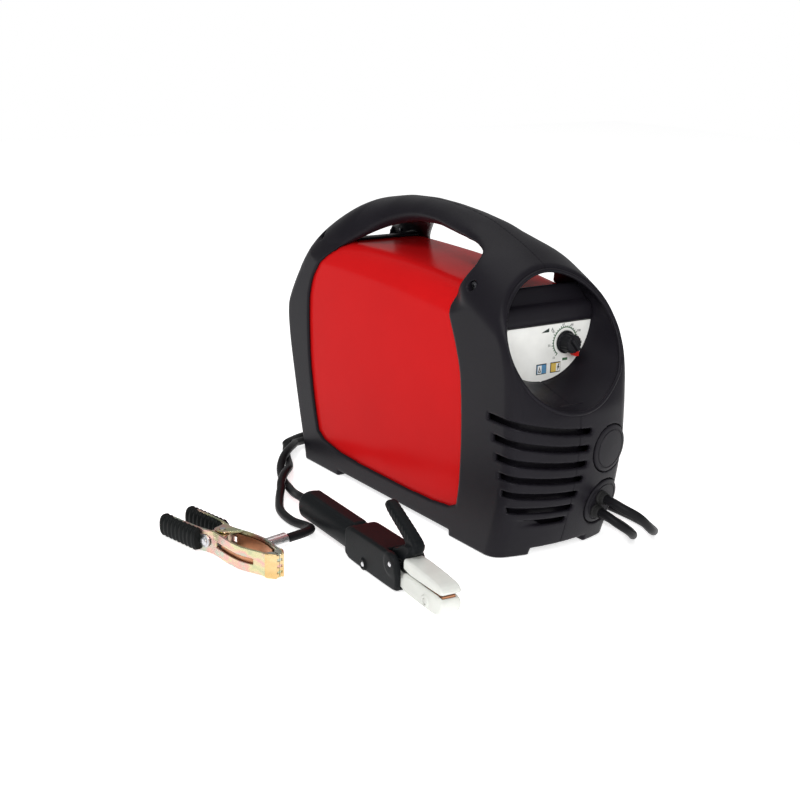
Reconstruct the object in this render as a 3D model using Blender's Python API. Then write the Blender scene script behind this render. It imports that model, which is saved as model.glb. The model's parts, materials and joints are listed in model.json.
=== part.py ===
"""Portable stick welder: moulded frame in two halves, painted cover, works, leads, holder and clamp."""

import math

import bpy
import bmesh
import numpy as np
from mathutils import Matrix, Vector

MM = 0.001
GAP = 0.3

# Frame: overall half width, heights of the ridge line, widths of the arch (millimetres).
HALF_WIDTH = 60.0
SHOULDER_Z = 186.0
RIDGE = ((-200, 190), (-150, 213), (-125, 226.5), (-103, 237), (-93, 241), (-70, 249), (-54, 254),
         (-27, 258.5), (0, 261), (30, 262), (65, 260), (99, 254), (112, 249.5), (126, 242),
         (140, 233), (152, 222), (164, 206), (180, 180), (200, 150))
ARCH_HALF_WIDTH = ((-200, 60), (-97, 60), (-90, 58.5), (-83, 54), (-69, 46), (-48, 35), (-25, 26),
                   (-3, 20.5), (24, 20), (40, 22), (52, 25), (70, 33), (91, 43), (102, 50),
                   (125, 56), (145, 60), (200, 60))
SECTION_Y = (-200, -150, -125, -103, -95, -87, -78, -68, -58, -48, -36, -25, -12, 4, 24, 38, 52, 62,
             70, 80, 91, 102, 113, 125, 138, 152, 168, 200)
FRONT_SIDE = ((0, -147), (8, -150.6), (27, -156), (47, -161), (72, -165), (96, -166.6), (120, -166),
              (142, -165), (158, -162.5), (173, -157), (189, -147), (205, -134), (222, -125.5),
              (240, -116), (280, -96))
FRONT_BULGE = ((0, 10), (110, 10), (120, 10), (131, 5), (142, 0.5), (158, -5), (173, -6.5),
               (189, -5), (205, 0), (280, 0))
FRONT_CORNER_X = 49.0
REAR_EDGE = ((146, -5), (146, 2), (157, 37), (167, 73), (177, 112), (180.5, 135), (180, 150),
             (176, 166), (168, 186), (152, 212), (134, 233), (120, 246), (120, 300), (260, 300),
             (260, -5))
SIDE_OPENING = ((118, 23), (-95, 23), (-99, 48), (-100, 84), (-98, 119), (-95, 144), (-86, 168),
                (-79, 182), (-76, 193), (-80, 205), (-89, 217), (-91.5, 226), (-86, 234),
                (-69, 238), (-48, 240), (-25, 242), (-3, 243), (24, 242.5), (40, 240.5), (52, 237.5),
                (70, 230.5), (91, 219), (102, 210.5), (113, 202), (124, 193), (134, 179),
                (140, 162), (140.5, 140), (138, 100), (130, 61))
WALL = 4.0
SIDE_WALL = 2.7
BOTTOM_Z = 8.0

# Cover: folded sheet.
COVER_HALF_WIDTH = 57.0
COVER_BEND = 24.0
COVER_SHEET = 1.2
COVER_TOP = ((-110, 202.5), (-90, 205), (-60, 209), (-20, 212), (20, 214), (60, 215), (104, 215.5),
             (160, 215.5))
COVER_SIDE = ((-105, 17), (-105, 196), (-97, 215), (-92, 230), (98, 230), (104, 214), (118, 202),
              (134, 182), (146, 160), (146, 120), (124, 17))

# Eye opening and control plate.
EYE_CENTRE = (-151.0, 171.0)
EYE_RADIUS = 55.8
EYE_RISE = 57.5
EYE_LEAN = math.radians(26.5)
PLATE_Y = -125.2
PLATE_CENTRE_Z = 183.5
PLATE_RADIUS = 49.5
PLATE_TOP_Z = 179.2
KNOB_AT = (23.4, 163.6)
KNOB_RADIUS = 9.5
LAMPS = (("lamp_power", 0.0, (0.15, 0.35, 0.6)), ("lamp_overload", 14.6, (0.75, 0.6, 0.15)))
LAMP_Z = 143.4

# Front face: round inserts and vents.
INSERT_RADIUS = 19.75
BLANK_AT = (36.7, 84.0)
OUTLET_AT = (37.9, 36.5)
LEAD_EXITS = ((30.8, 30.2), (33.8, 41.8))
VENTS = ((10.7, 103.2, 119.2, -134), (9.5, 89.3, 103.5, -141), (8.7, 76.1, 88.0, -145),
         (6.7, 63.6, 73.7, -150), (3.4, 51.2, 59.9, -153), (0.7, 39.6, 46.0, -157),
         (-3.9, 29.4, 34.5, -161))
VENT_HEIGHT = 5.0

# Rear panel, leaning like the rear edge.
REAR_LEAN = math.radians(14.2)
REAR_AT = (0.0, 156.5, 79.0)
REAR_SIZE = (98.0, 118.0, 2.0)
SWITCH_V = -36.0
GLAND_V = -44.0
FAN_SIDE = 80.0
FAN_V = 18.6

# Leads.
LEAD_RADIUS = 3.75
COILS = (("holder_lead_coil", 125.0, 137.0), ("clamp_lead_coil", 125.0, 20.0))
COIL_RADIUS = 41.0
COIL_THICK = 8.5

# Holder and clamp, as they lie on the floor.
HOLDER_TAIL = (-139.0, 1.5, 15.0)
HOLDER_TURN = math.radians(-93.6)
CLAMP_END = (-247.0, 36.0, 0.4)
CLAMP_TURN = math.radians(-78.9)


def clear_scene():
    for obj in list(bpy.data.objects):
        bpy.data.objects.remove(obj, do_unlink=True)


def material(name, colour, roughness, metallic=0.0):
    made = bpy.data.materials.get(name)
    if made is None:
        made = bpy.data.materials.new(name)
        made.use_nodes = True
        shader = made.node_tree.nodes["Principled BSDF"]
        shader.inputs["Base Color"].default_value = (*colour, 1.0)
        shader.inputs["Roughness"].default_value = roughness
        shader.inputs["Metallic"].default_value = metallic
    return made


def table(points, value):
    """Piecewise-linear value of a table of (station, value) pairs."""
    return float(np.interp(value, [p[0] for p in points], [p[1] for p in points]))


def mesh_object(name, verts, faces):
    mesh = bpy.data.meshes.new(name)
    mesh.from_pydata([Vector(v) * MM for v in verts], [], faces)
    grid = bmesh.new()
    grid.from_mesh(mesh)
    bmesh.ops.remove_doubles(grid, verts=grid.verts, dist=1e-6)
    bmesh.ops.recalc_face_normals(grid, faces=grid.faces)
    grid.to_mesh(mesh)
    grid.free()
    obj = bpy.data.objects.new(name, mesh)
    bpy.context.scene.collection.objects.link(obj)
    return obj


def loft(name, rings):
    """One closed solid through closed rings of equal length, capped at both ends."""
    count = len(rings[0])
    verts = [p for ring in rings for p in ring]
    faces = []
    for i in range(len(rings) - 1):
        for j in range(count):
            k = (j + 1) % count
            faces.append((i * count + j, i * count + k, (i + 1) * count + k, (i + 1) * count + j))
    faces.append(tuple(range(count)))
    faces.append(tuple((len(rings) - 1) * count + j for j in reversed(range(count))))
    return mesh_object(name, verts, faces)


def prism_x(name, outline, low, high):
    """Solid with a (y, z) outline, between two x planes."""
    return loft(name, [[(x, y, z) for y, z in outline] for x in (low, high)])


def prism_y(name, outline, low, high):
    """Solid with an (x, z) outline, between two y planes."""
    return loft(name, [[(x, y, z) for x, z in outline] for y in (low, high)])


def prism_z(name, outline, low, high):
    """Solid with an (x, y) outline, between two z planes."""
    return loft(name, [[(x, y, z) for x, y in outline] for z in (low, high)])


def block(name, low, high):
    outline = ((low[0], low[1]), (high[0], low[1]), (high[0], high[1]), (low[0], high[1]))
    return prism_z(name, outline, low[2], high[2])


def ring_points(centre, radius, count, stretch=1.0, start=0.0):
    return [(centre[0] + radius * math.cos(start + 2 * math.pi * i / count),
             centre[1] + radius * stretch * math.sin(start + 2 * math.pi * i / count))
            for i in range(count)]


def lathe(name, profile, count=24):
    """Solid turned about the local z axis; the profile is (radius, height), closed on the axis."""
    verts = []
    faces = []
    rings = []
    for radius, height in profile:
        if radius < 1e-6:
            rings.append([len(verts)])
            verts.append((0, 0, height))
            continue
        rings.append(list(range(len(verts), len(verts) + count)))
        for i in range(count):
            turn = 2 * math.pi * i / count
            verts.append((radius * math.cos(turn), radius * math.sin(turn), height))
    closed = len(rings[0]) > 1
    pairs = list(zip(rings, rings[1:])) + ([(rings[-1], rings[0])] if closed else [])
    for low, high in pairs:
        for i in range(count):
            k = (i + 1) % count
            if len(low) == 1 and len(high) > 1:
                faces.append((low[0], high[k], high[i]))
            elif len(high) == 1 and len(low) > 1:
                faces.append((low[i], low[k], high[0]))
            elif len(low) > 1:
                faces.append((low[i], low[k], high[k], high[i]))
    return mesh_object(name, verts, faces)


def place(obj, at=(0, 0, 0), turn=None):
    """Sets where a solid stands, in millimetres, after an optional turn matrix."""
    matrix = Matrix.Translation(Vector(at) * MM)
    obj.matrix_world = matrix @ turn.to_4x4() if turn is not None else matrix
    return obj


def combine(obj, other, operation):
    """Boolean of two solids, baked into the first; the second is removed.

    The frame's many-sided skin takes the manifold solver, because the exact one leaves it open.
    """
    tool = obj.modifiers.new("Boolean", "BOOLEAN")
    tool.operation = operation
    tool.solver = "MANIFOLD" if obj.name.startswith(FRAME_NAMES) else "EXACT"
    tool.object = other
    bpy.context.view_layer.update()
    graph = bpy.context.evaluated_depsgraph_get()
    mesh = bpy.data.meshes.new_from_object(obj.evaluated_get(graph))
    obj.modifiers.clear()
    obj.data = mesh
    bpy.data.objects.remove(other, do_unlink=True)
    return obj


def cut(obj, *others):
    for other in others:
        combine(obj, other, "DIFFERENCE")
    return obj


def join(obj, *others):
    for other in others:
        combine(obj, other, "UNION")
    return obj


def common(obj, other):
    return combine(obj, other, "INTERSECT")


def finish(obj, paint, smooth=True):
    obj.data.materials.clear()
    obj.data.materials.append(paint)
    if smooth:
        obj.data.shade_smooth()
        obj.data.set_sharp_from_angle(angle=math.radians(32))
    return obj


FRAME_NAMES = ("frame_form", "frame_half", "nose_room")


def copy_of(obj, name):
    made = obj.copy()
    made.data = obj.data.copy()
    made.name = name
    bpy.context.scene.collection.objects.link(made)
    return made


def eye_plane_y(z):
    return EYE_CENTRE[0] + (z - EYE_CENTRE[1]) * math.tan(EYE_LEAN)


def front_y(x, z):
    """Front face of the nose: crowned across, with rounded side corners."""
    across = min(abs(x), 58.0) / 58.0
    corner = max(0.0, min(abs(x) - FRONT_CORNER_X, 10.9)) / 11.0
    rounding = 9.0 * (1 - math.sqrt(1 - corner ** 2))
    return table(FRONT_SIDE, z) - table(FRONT_BULGE, z) * (1 - across ** 2) + rounding


def envelope_section(y):
    """Closed (x, y, z) ring of the outer form at one station, with no openings."""
    arch = table(ARCH_HALF_WIDTH, y)
    top = table(RIDGE, y)
    narrow = min(1.0, max(0.0, (arch - 20.0) / 25.0))
    drop = 13.0 + 27.0 * narrow
    eave = top - drop
    half = [(58.0, 0.0), (HALF_WIDTH, 2.0), (HALF_WIDTH, min(SHOULDER_Z - 26, eave - 6)),
            (HALF_WIDTH, min(SHOULDER_Z - 9, eave - 4)), (arch, min(199.0, eave - 2))]
    for degrees in (90, 74, 60, 47, 35, 23, 11):
        turn = math.radians(degrees)
        half.append((arch * math.sin(turn), top - drop * (1 - math.cos(turn))))
    ring = [(x, y, z) for x, z in half] + [(0.0, y, top)]
    return ring + [(-x, y, z) for x, z in reversed(half)]


def front_trim():
    """Everything ahead of the front face."""
    xs = (-75, -60, -58.5, -56, -53, -49, -40, -30, -20, -10, 0, 10, 20, 30, 40, 49, 53, 56, 58.5, 60, 75)
    rings = []
    for z in (-6, 8, 27, 47, 72, 96, 110, 120, 131, 142, 158, 173, 189, 205, 222, 240, 280):
        ring = [(x, front_y(x, z), z) for x in xs]
        rings.append(ring + [(75, -300, z), (-75, -300, z)])
    return loft("front_trim", rings)


def eye_bore(extra):
    """Opening of the eye, from ahead of its rim to the plane of the control plate."""
    rings = []
    for share in (-0.5, 0.0, 1.0):
        ring = []
        for i in range(40):
            turn = 2 * math.pi * i / 40
            s = math.sin(turn)
            c = math.cos(turn)
            rim = (EYE_RADIUS * s, EYE_CENTRE[0] + EYE_RISE * c * math.sin(EYE_LEAN),
                   EYE_CENTRE[1] + EYE_RISE * c * math.cos(EYE_LEAN))
            inner = (PLATE_RADIUS * s, PLATE_Y - GAP, PLATE_CENTRE_Z + PLATE_RADIUS * c)
            if c > 0.3:
                inner = (inner[0], rim[1] + 30.0 + 0 * s, rim[2] + 11.0)
            ahead = (rim[0] * 1.05, rim[1] - 24.0, rim[2] + 3.0 * c)
            point = ahead if share < 0 else (rim if share == 0 else inner)
            ring.append((point[0] + extra * s, point[1], point[2] + extra * c))
        rings.append(ring)
    return loft("eye_bore", rings)


def hood_tunnel():
    """Way from the eye, over the fascia, to the hand space."""
    rings = []
    for y, centre, radius in ((-128, 182.5, 49.2), (-112, 184.5, 48.0), (-95, 188.0, 46.0),
                              (-80, 192.0, 42.0)):
        rings.append([(x, y, z) for x, z in ring_points((0, centre), radius, 40)])
    return loft("hood_tunnel", rings)


def vent(right_x, right_z, side_z, back_y):
    """One curved vent: it starts near the middle of the nose and rises round the corner."""
    line = []
    for i in range(9):
        share = i / 8.0
        x = right_x + (-70.0 - right_x) * share
        line.append((x, right_z + (side_z - right_z) * (0.35 * share + 0.65 * share ** 2)))
    half = VENT_HEIGHT / 2
    tip = [(line[0][0] + half, line[0][1])]
    outline = [(x, z + half) for x, z in reversed(line)] + tip + [(x, z - half) for x, z in line]
    return prism_y("vent", outline, -220, back_y)


def cover_section(y, inset):
    """Closed ring of the cover's outer form, moved inwards by inset, open legs excluded."""
    top = table(COVER_TOP, y) - inset
    half = COVER_HALF_WIDTH - inset
    bend = COVER_BEND - inset
    right = []
    for i in range(7):
        turn = math.radians(90 * i / 6)
        right.append((half - bend + bend * math.cos(turn), top - bend + bend * math.sin(turn)))
    left = [(-x, z) for x, z in reversed(right)]
    return right + left


def cover_form(name, inset, low, ys):
    rings = []
    for y in ys:
        curve = cover_section(y, inset)
        half = COVER_HALF_WIDTH - inset
        rings.append([(half, y, low)] + [(x, y, z) for x, z in curve] + [(-half, y, low)])
    return loft(name, rings)


def grown(outline, by):
    """Outline moved outwards by about the given distance, away from its middle."""
    middle = Vector((sum(p[0] for p in outline), sum(p[1] for p in outline))) / len(outline)
    moved = []
    for p in outline:
        away = (Vector(p) - middle).normalized()
        moved.append((p[0] + away.x * by, p[1] + away.y * by))
    return moved


def sheet_room():
    """Slot that the cover's edges slide into, all round."""
    ys = (-110, -90, -60, -20, 20, 60, 104, 150)
    room = cover_form("sheet_room", -GAP, 10.0, ys)
    cut(room, cover_form("sheet_core", COVER_SHEET + GAP, 0.0, (-120, -90, -60, -20, 20, 60, 104, 160)))
    return common(room, prism_x("sheet_side", grown(COVER_SIDE, 0.8), -80, 80))


def frame_form():
    """The whole moulded frame before it is parted at the middle plane."""
    frame = loft("frame_form", [envelope_section(y) for y in SECTION_Y])
    cut(frame, front_trim(), prism_x("rear_trim", REAR_EDGE, -80, 80))
    works = cover_form("works_room", -GAP, BOTTOM_Z, (-105.3, -90, -60, -20, 20, 60, 104.3))
    cut(frame, works)
    cut(frame, prism_x("works_rear", ((100, BOTTOM_Z), (125, BOTTOM_Z), (147, 120), (147, 161),
                                      (136, 183), (100, 183)), -57.3, 57.3))
    cut(frame, prism_x("rear_pocket", ((100, 15), (141.2, 15), (173.4, 142.2), (100, 142.2)), -51, 51))
    cut(frame, block("rear_window_low", (-45, 120, 24), (45, 220, 133)))
    nose = block("nose_room", (-56, -172, BOTTOM_Z), (56, -105, 180.5))
    ahead = front_trim()
    ahead.data.transform(Matrix.Translation((0, WALL * MM, 0)))
    cut(nose, ahead, eye_bore(3.0))
    cut(frame, nose)
    cut(frame, eye_bore(0.0), hood_tunnel())
    cut(frame, prism_x("side_opening", SIDE_OPENING, -90, 90))
    gap_outline = [(-39, 200), (-36, 160), (-31, 138), (-26, 124), (-18, 113), (-9, 106), (0, 104),
                   (9, 106), (18, 113), (26, 124), (31, 138), (36, 160), (39, 200)]
    cut(frame, prism_z("rear_window", gap_outline, 184, 290))
    deck = prism_x("deck", ((97, 216.2), (99, 218.4), (108, 218.6), (130, 212.5), (152, 204), (163, 195),
                            (167, 184.5), (170, 170), (148, 170), (136, 183.3), (104.6, 183.3),
                            (104.6, 216.2)), -48, 48)
    join(frame, deck)
    cut(frame, sheet_room())
    for vent_sizes in VENTS:
        cut(frame, vent(*vent_sizes))
    cut(frame, block("side_gap", (-80, -88, -5), (80, 85, 5)))
    cut(frame, block("front_gap", (-28.4, -220, -5), (28.4, -100, 7)))
    cut(frame, block("rear_gap", (-28.4, 100, -5), (28.4, 220, 7)))
    cut(frame, block("floor_window", (-44, -100, -5), (44, 120, 12)))
    for x, z in (BLANK_AT, OUTLET_AT):
        cut(frame, insert_hole(x, z))
    for at in SCREWS:
        cut(frame, screw_hole(*at))
    return frame


SCREWS = (("screw_rear_left", -1, 132.0, 217.0, 47.2), ("screw_rear_right", 1, 132.0, 217.0, 47.2),
          ("screw_front_left", -1, -101.0, 212.0, 54.0), ("screw_front_right", 1, -101.0, 212.0, 54.0))


def screw_hole(name, side, y, z, x):
    """Counterbore and pilot of one case screw, along x."""
    hole = lathe("screw_hole", ((0, -12.5), (1.8, -12.5), (1.8, -3.5), (4.0, -3.5), (4.0, 30), (0, 30)), 16)
    turn = Matrix.Rotation(math.radians(90 * side), 3, "Y")
    return place(hole, (side * x, y, z), turn)


def screws():
    steel = material("dark_screw", (0.05, 0.05, 0.05), 0.35, 0.9)
    for name, side, y, z, x in SCREWS:
        screw = lathe(name, ((0, -12), (1.4, -12), (1.5, -3.2), (3.6, -3.2), (3.6, -1.6), (2.6, -0.8),
                             (0, -0.8)), 16)
        recess = block("recess", (-2, -0.5, -2.2), (2, 0.5, 2))
        recess_b = block("recess_b", (-0.5, -2, -2.2), (0.5, 2, 2))
        cut(screw, recess, recess_b)
        place(screw, (side * x, y, z), Matrix.Rotation(math.radians(90 * side), 3, "Y"))
        finish(screw, steel)


def insert_turn(x, z):
    """Rotation that lays a turned piece's axis along the front face's outward normal."""
    step = 4.0
    along_x = Vector((2 * step, front_y(x + step, z) - front_y(x - step, z), 0))
    along_z = Vector((0, front_y(x, z + step) - front_y(x, z - step), 2 * step))
    normal = along_x.cross(along_z).normalized()
    return Vector((0, 0, 1)).rotation_difference(normal).to_matrix()


def insert_hole(x, z):
    hole = lathe("insert_hole", ((0, -12), (INSERT_RADIUS + GAP, -12), (INSERT_RADIUS + GAP, 20), (0, 20)), 32)
    return place(hole, (x, front_y(x, z), z), insert_turn(x, z))


def frame_halves():
    plastic = material("black_moulding", (0.035, 0.033, 0.04), 0.45)
    whole = frame_form()
    other = copy_of(whole, "frame_half_right")
    whole.name = "frame_half_left"
    cut(whole, block("right_side", (-0.15, -300, -50), (100, 300, 350)))
    cut(other, block("left_side", (-100, -300, -50), (0.15, 300, 350)))
    finish(whole, plastic)
    finish(other, plastic)


def cover():
    paint = material("red_paint", (0.72, 0.02, 0.015), 0.25)
    ys = (-105, -90, -60, -20, 20, 60, 104, 146)
    sheet = cover_form("cover", 0.0, 17.0, ys)
    inner = cover_form("cover_inner", COVER_SHEET, 0.0, (-120, -90, -60, -20, 20, 60, 104, 160))
    cut(sheet, inner)
    common(sheet, prism_x("cover_side", COVER_SIDE, -80, 80))
    sheet.name = "cover"
    finish(sheet, paint)


def base_pan():
    steel = material("zinc_sheet", (0.55, 0.56, 0.58), 0.35, 1.0)
    pan = block("base_pan", (-55, -102, BOTTOM_Z + GAP), (55, 121, BOTTOM_Z + 1.8))
    for x in (-40, 40):
        for y in (-70, 80):
            join(pan, block("pad", (x - 5, y - 5, BOTTOM_Z + 1), (x + 5, y + 5, 19.7)))
    finish(pan, steel, False)


def fascia():
    """Black inner moulding: a lintel over the control plate and the wall the plate lies on."""
    plastic = material("black_moulding", (0.035, 0.033, 0.04), 0.45)
    back = PLATE_Y + 0.8 + GAP
    profile = ((-114, 208), (-112, 209), (-110.5, 208), (-110.5, 183), (-119, 178), (back + 3, 178),
               (back + 3, 176), (back, 176), (back, 179.6), (-126.5, 180.3), (-127.5, 184),
               (-126.5, 192.5), (-123, 195.5), (-119.5, 196.5))
    lintel = prism_x("fascia", profile, -52, 52)
    disc = prism_y("disc", ring_points((0, 184.5), 47.4, 40), -150, -90)
    common(lintel, disc)
    wall = prism_y("wall", ring_points((0, 171), 50, 40), back, back + 3)
    cut(wall, block("over", (-80, -150, 178), (80, -90, 260)))
    join(lintel, wall)
    shaft = lathe("shaft", ((0, -20), (3.4, -20), (3.4, 20), (0, 20)), 20)
    cut(lintel, place(shaft, (KNOB_AT[0], PLATE_Y, KNOB_AT[1]), Matrix.Rotation(math.radians(90), 3, "X")))
    lintel.name = "fascia"
    finish(lintel, plastic)


def control_plate():
    white = material("white_plate", (0.85, 0.86, 0.84), 0.35)
    plate = prism_y("control_plate", ring_points((0, PLATE_CENTRE_Z), PLATE_RADIUS + 2.5, 48),
                    PLATE_Y, PLATE_Y + 0.8)
    cut(plate, block("over", (-80, -150, PLATE_TOP_Z), (80, -100, 260)))
    shaft = lathe("shaft", ((0, -20), (3.4, -20), (3.4, 20), (0, 20)), 20)
    cut(plate, place(shaft, (KNOB_AT[0], PLATE_Y, KNOB_AT[1]), Matrix.Rotation(math.radians(90), 3, "X")))
    for name, x, colour in LAMPS:
        cut(plate, block("lamp_hole", (x - 4.8, -140, LAMP_Z - 3.8), (x + 4.8, -100, LAMP_Z + 3.8)))
        lamp = block(name, (x - 4.5, PLATE_Y - 0.6, LAMP_Z - 3.5), (x + 4.5, PLATE_Y + 0.8, LAMP_Z + 3.5))
        finish(lamp, material(name, colour, 0.2), False)
    finish(plate, white, False)


def knob():
    """Knob with its shaft; its axis is the joint's axis."""
    black = material("knob_black", (0.02, 0.02, 0.022), 0.4)
    shape = lathe("current_knob", ((0, 0.3), (KNOB_RADIUS + 0.8, 0.3), (KNOB_RADIUS + 0.8, 2.2),
                                   (KNOB_RADIUS - 0.6, 3.4), (KNOB_RADIUS - 1.2, 12.0),
                                   (KNOB_RADIUS - 2.2, 13.0), (0, 13.0)), 28)
    shaft = lathe("shaft", ((0, -14.5), (3.0, -14.5), (3.0, 1.0), (0, 1.0)), 20)
    join(shape, shaft)
    pointer = block("pointer", (-1.3, 0, 0.3), (1.3, KNOB_RADIUS + 3.2, 3.0))
    join(shape, pointer)
    ridge = block("ridge", (-1.6, -KNOB_RADIUS + 2.5, 11), (1.6, KNOB_RADIUS - 1.6, 15.0))
    join(shape, ridge)
    lay = Matrix.Rotation(math.radians(90), 3, "X")
    aim = Matrix.Rotation(math.radians(-140), 3, "Z")
    place(shape, (KNOB_AT[0], PLATE_Y, KNOB_AT[1]), lay @ aim)
    shape.name = "current_knob"
    finish(shape, black)


def potentiometer():
    metal = material("pot_metal", (0.6, 0.6, 0.58), 0.4, 0.8)
    body = lathe("potentiometer", ((0, -15.5), (8.0, -15.5), (8.0, -4.7), (5.0, -4.7), (3.3, -4.7),
                                   (3.3, -14.8), (0, -14.8)), 28)
    place(body, (KNOB_AT[0], PLATE_Y, KNOB_AT[1]), Matrix.Rotation(math.radians(90), 3, "X"))
    finish(body, metal)


def inserts():
    plastic = material("insert_moulding", (0.05, 0.048, 0.055), 0.5)
    for name, (x, z) in (("front_blank", BLANK_AT), ("lead_outlet", OUTLET_AT)):
        disc = lathe(name, ((0, -6.0), (INSERT_RADIUS - 4, -6.0), (INSERT_RADIUS - 1.5, -6.0),
                            (INSERT_RADIUS, -5.0), (INSERT_RADIUS, -0.6), (INSERT_RADIUS - 1.0, 0.3),
                            (INSERT_RADIUS - 6, 0.9), (0, 1.1)), 32)
        place(disc, (x, front_y(x, z), z), insert_turn(x, z))
        if name == "lead_outlet":
            for hole_x, hole_z in LEAD_EXITS:
                hole = lathe("lead_hole", ((0, -30), (5.8, -30), (5.8, 30), (0, 30)), 24)
                lay = Matrix.Rotation(math.radians(90), 3, "X")
                cut(disc, place(hole, (hole_x, -165, hole_z), lay))
        disc.name = name
        finish(disc, plastic)


def bushes():
    rubber = material("black_rubber", (0.02, 0.02, 0.02), 0.7)
    for name, (x, z) in zip(("holder_lead_bush", "clamp_lead_bush"), LEAD_EXITS):
        inner = LEAD_RADIUS + GAP
        bush = lathe(name, ((inner, -11), (5.5, -11), (5.5, 1.5), (5.2, 5.0), (4.7, 7.5),
                            (inner, 7.5)), 24)
        place(bush, (x, front_y(x, z) - 1.0, z), Matrix.Rotation(math.radians(90), 3, "X"))
        finish(bush, rubber)


def rear_turn():
    return Matrix.Rotation(math.radians(90) + REAR_LEAN, 3, "X")


def rear_place(obj, u, v, w):
    """Stands a piece on the rear panel: u across, v up the panel, w outwards."""
    turn = Matrix.Rotation(math.pi, 3, "Z") @ rear_turn()
    offset = turn @ Vector((u, v, w))
    at = Vector(REAR_AT) + offset
    return place(obj, at, turn)


def rear_panel():
    steel = material("black_sheet", (0.04, 0.04, 0.042), 0.5, 0.2)
    half_u = REAR_SIZE[0] / 2
    half_v = REAR_SIZE[1] / 2
    panel = block("rear_panel", (-half_u, -half_v, -REAR_SIZE[2]), (half_u, half_v, 0))
    for i in range(9):
        v = -4.0 + i * 7.0
        cut(panel, block("louvre", (-34, v - 1.6, -9), (34, v + 1.6, 9)))
    cut(panel, block("switch_hole", (8, SWITCH_V - 13.4, -9), (33, SWITCH_V + 13.4, 9)))
    hole = lathe("gland_hole", ((0, -9), (8.3, -9), (8.3, 9), (0, 9)), 24)
    hole.data.transform(Matrix.Translation(Vector((-24, GLAND_V, 0)) * MM))
    cut(panel, hole)
    rear_place(panel, 0, 0, 0)
    finish(panel, steel, False)


def mains_switch():
    black = material("switch_black", (0.015, 0.015, 0.015), 0.3)
    body = block("mains_switch", (-12.2, -13.1, -20), (12.2, 13.1, 0.3))
    join(body, block("bezel", (-14, -15, 0.3), (14, 15, 2.0)))
    cut(body, block("well", (-9.5, -10.5, -9.0), (9.5, 10.5, 10)))
    rear_place(body, 20.5, SWITCH_V, 0)
    body.name = "mains_switch"
    finish(body, black, False)
    red = material("rocker_red", (0.5, 0.02, 0.02), 0.3)
    tilt = math.radians(11)
    outline = []
    for i in range(9):
        turn = math.radians(-152 + 124 * i / 8)
        outline.append((8.0 * math.cos(turn) * 1.15, 7.2 * math.sin(turn)))
    outline = [(-8.6, 2.6), (-8.9, 0.5)] + outline[::1] + [(8.9, 0.5), (8.6, 2.6), (0, 1.4)]
    turned = [(y * math.cos(tilt) - z * math.sin(tilt), y * math.sin(tilt) + z * math.cos(tilt))
              for y, z in outline]
    rocker = prism_x("mains_rocker", turned, -8.9, 8.9)
    rear_place(rocker, 20.5, SWITCH_V, 0)
    finish(rocker, red)


def gland():
    nylon = material("nylon_black", (0.03, 0.03, 0.03), 0.55)
    body = lathe("mains_gland", ((4.2, -12), (8.0, -12), (8.0, 0.3), (11.0, 0.3), (11.0, 5.5), (9.0, 6.5),
                                 (7.6, 18), (6.6, 19.5), (4.2, 19.5)), 24)
    rear_place(body, -24, GLAND_V, 0)
    finish(body, nylon)
    nut = lathe("gland_nut", ((0, -7.2), (12.0, -7.2), (12.0, -2.3), (0, -2.3)), 6)
    cut(nut, lathe("thread", ((0, -20), (8.3, -20), (8.3, 20), (0, 20)), 24))
    rear_place(nut, -24, GLAND_V, 0)
    finish(nut, nylon, False)


def fan():
    black = material("fan_black", (0.025, 0.025, 0.025), 0.5)
    half = FAN_SIDE / 2
    depth = 20.0
    frame = block("fan_frame", (-half, -half, -depth), (half, half, 0))
    bore = lathe("bore", ((0, -30), (half - 2.5, -30), (half - 2.5, 10), (0, 10)), 40)
    cut(frame, bore)
    for angle in (20, 140, 260):
        spoke = block("spoke", (0, -2, -depth), (half, 2, -depth + 3))
        spoke.data.transform(Matrix.Rotation(math.radians(angle), 4, "Z"))
        join(frame, spoke)
    hub = lathe("hub", ((0, -depth), (13, -depth), (13, -depth + 3), (0, -depth + 3)), 32)
    join(frame, hub)
    rear_place(frame, 0, FAN_V, -REAR_SIZE[2] - GAP)
    frame.name = "fan_frame"
    finish(frame, black)
    rotor = lathe("fan_rotor", ((0, -depth + 3.4), (13.5, -depth + 3.4), (13.5, -3.2), (12, -1.8),
                                (0, -1.8)), 32)
    for i in range(7):
        low = []
        high = []
        for share in (0.0, 1.0):
            radius = 12.0 + 23.6 * share
            pitch = math.radians(38 - 12 * share)
            for sign in (-1, 1):
                run = 7.0 * math.cos(pitch) * sign
                rise = 6.0 * math.sin(pitch) * sign
                low.append((radius, run, -9.5 + rise - 0.7))
                high.append((radius, run, -9.5 + rise + 0.7))
        ring_a = [low[0], low[1], high[1], high[0]]
        ring_b = [low[2], low[3], high[3], high[2]]
        blade = loft("blade", [ring_a, ring_b])
        blade.data.transform(Matrix.Rotation(2 * math.pi * i / 7, 4, "Z"))
        join(rotor, blade)
    rear_place(rotor, 0, FAN_V, -REAR_SIZE[2] - GAP)
    rotor.name = "fan_rotor"
    finish(rotor, black)


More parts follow.
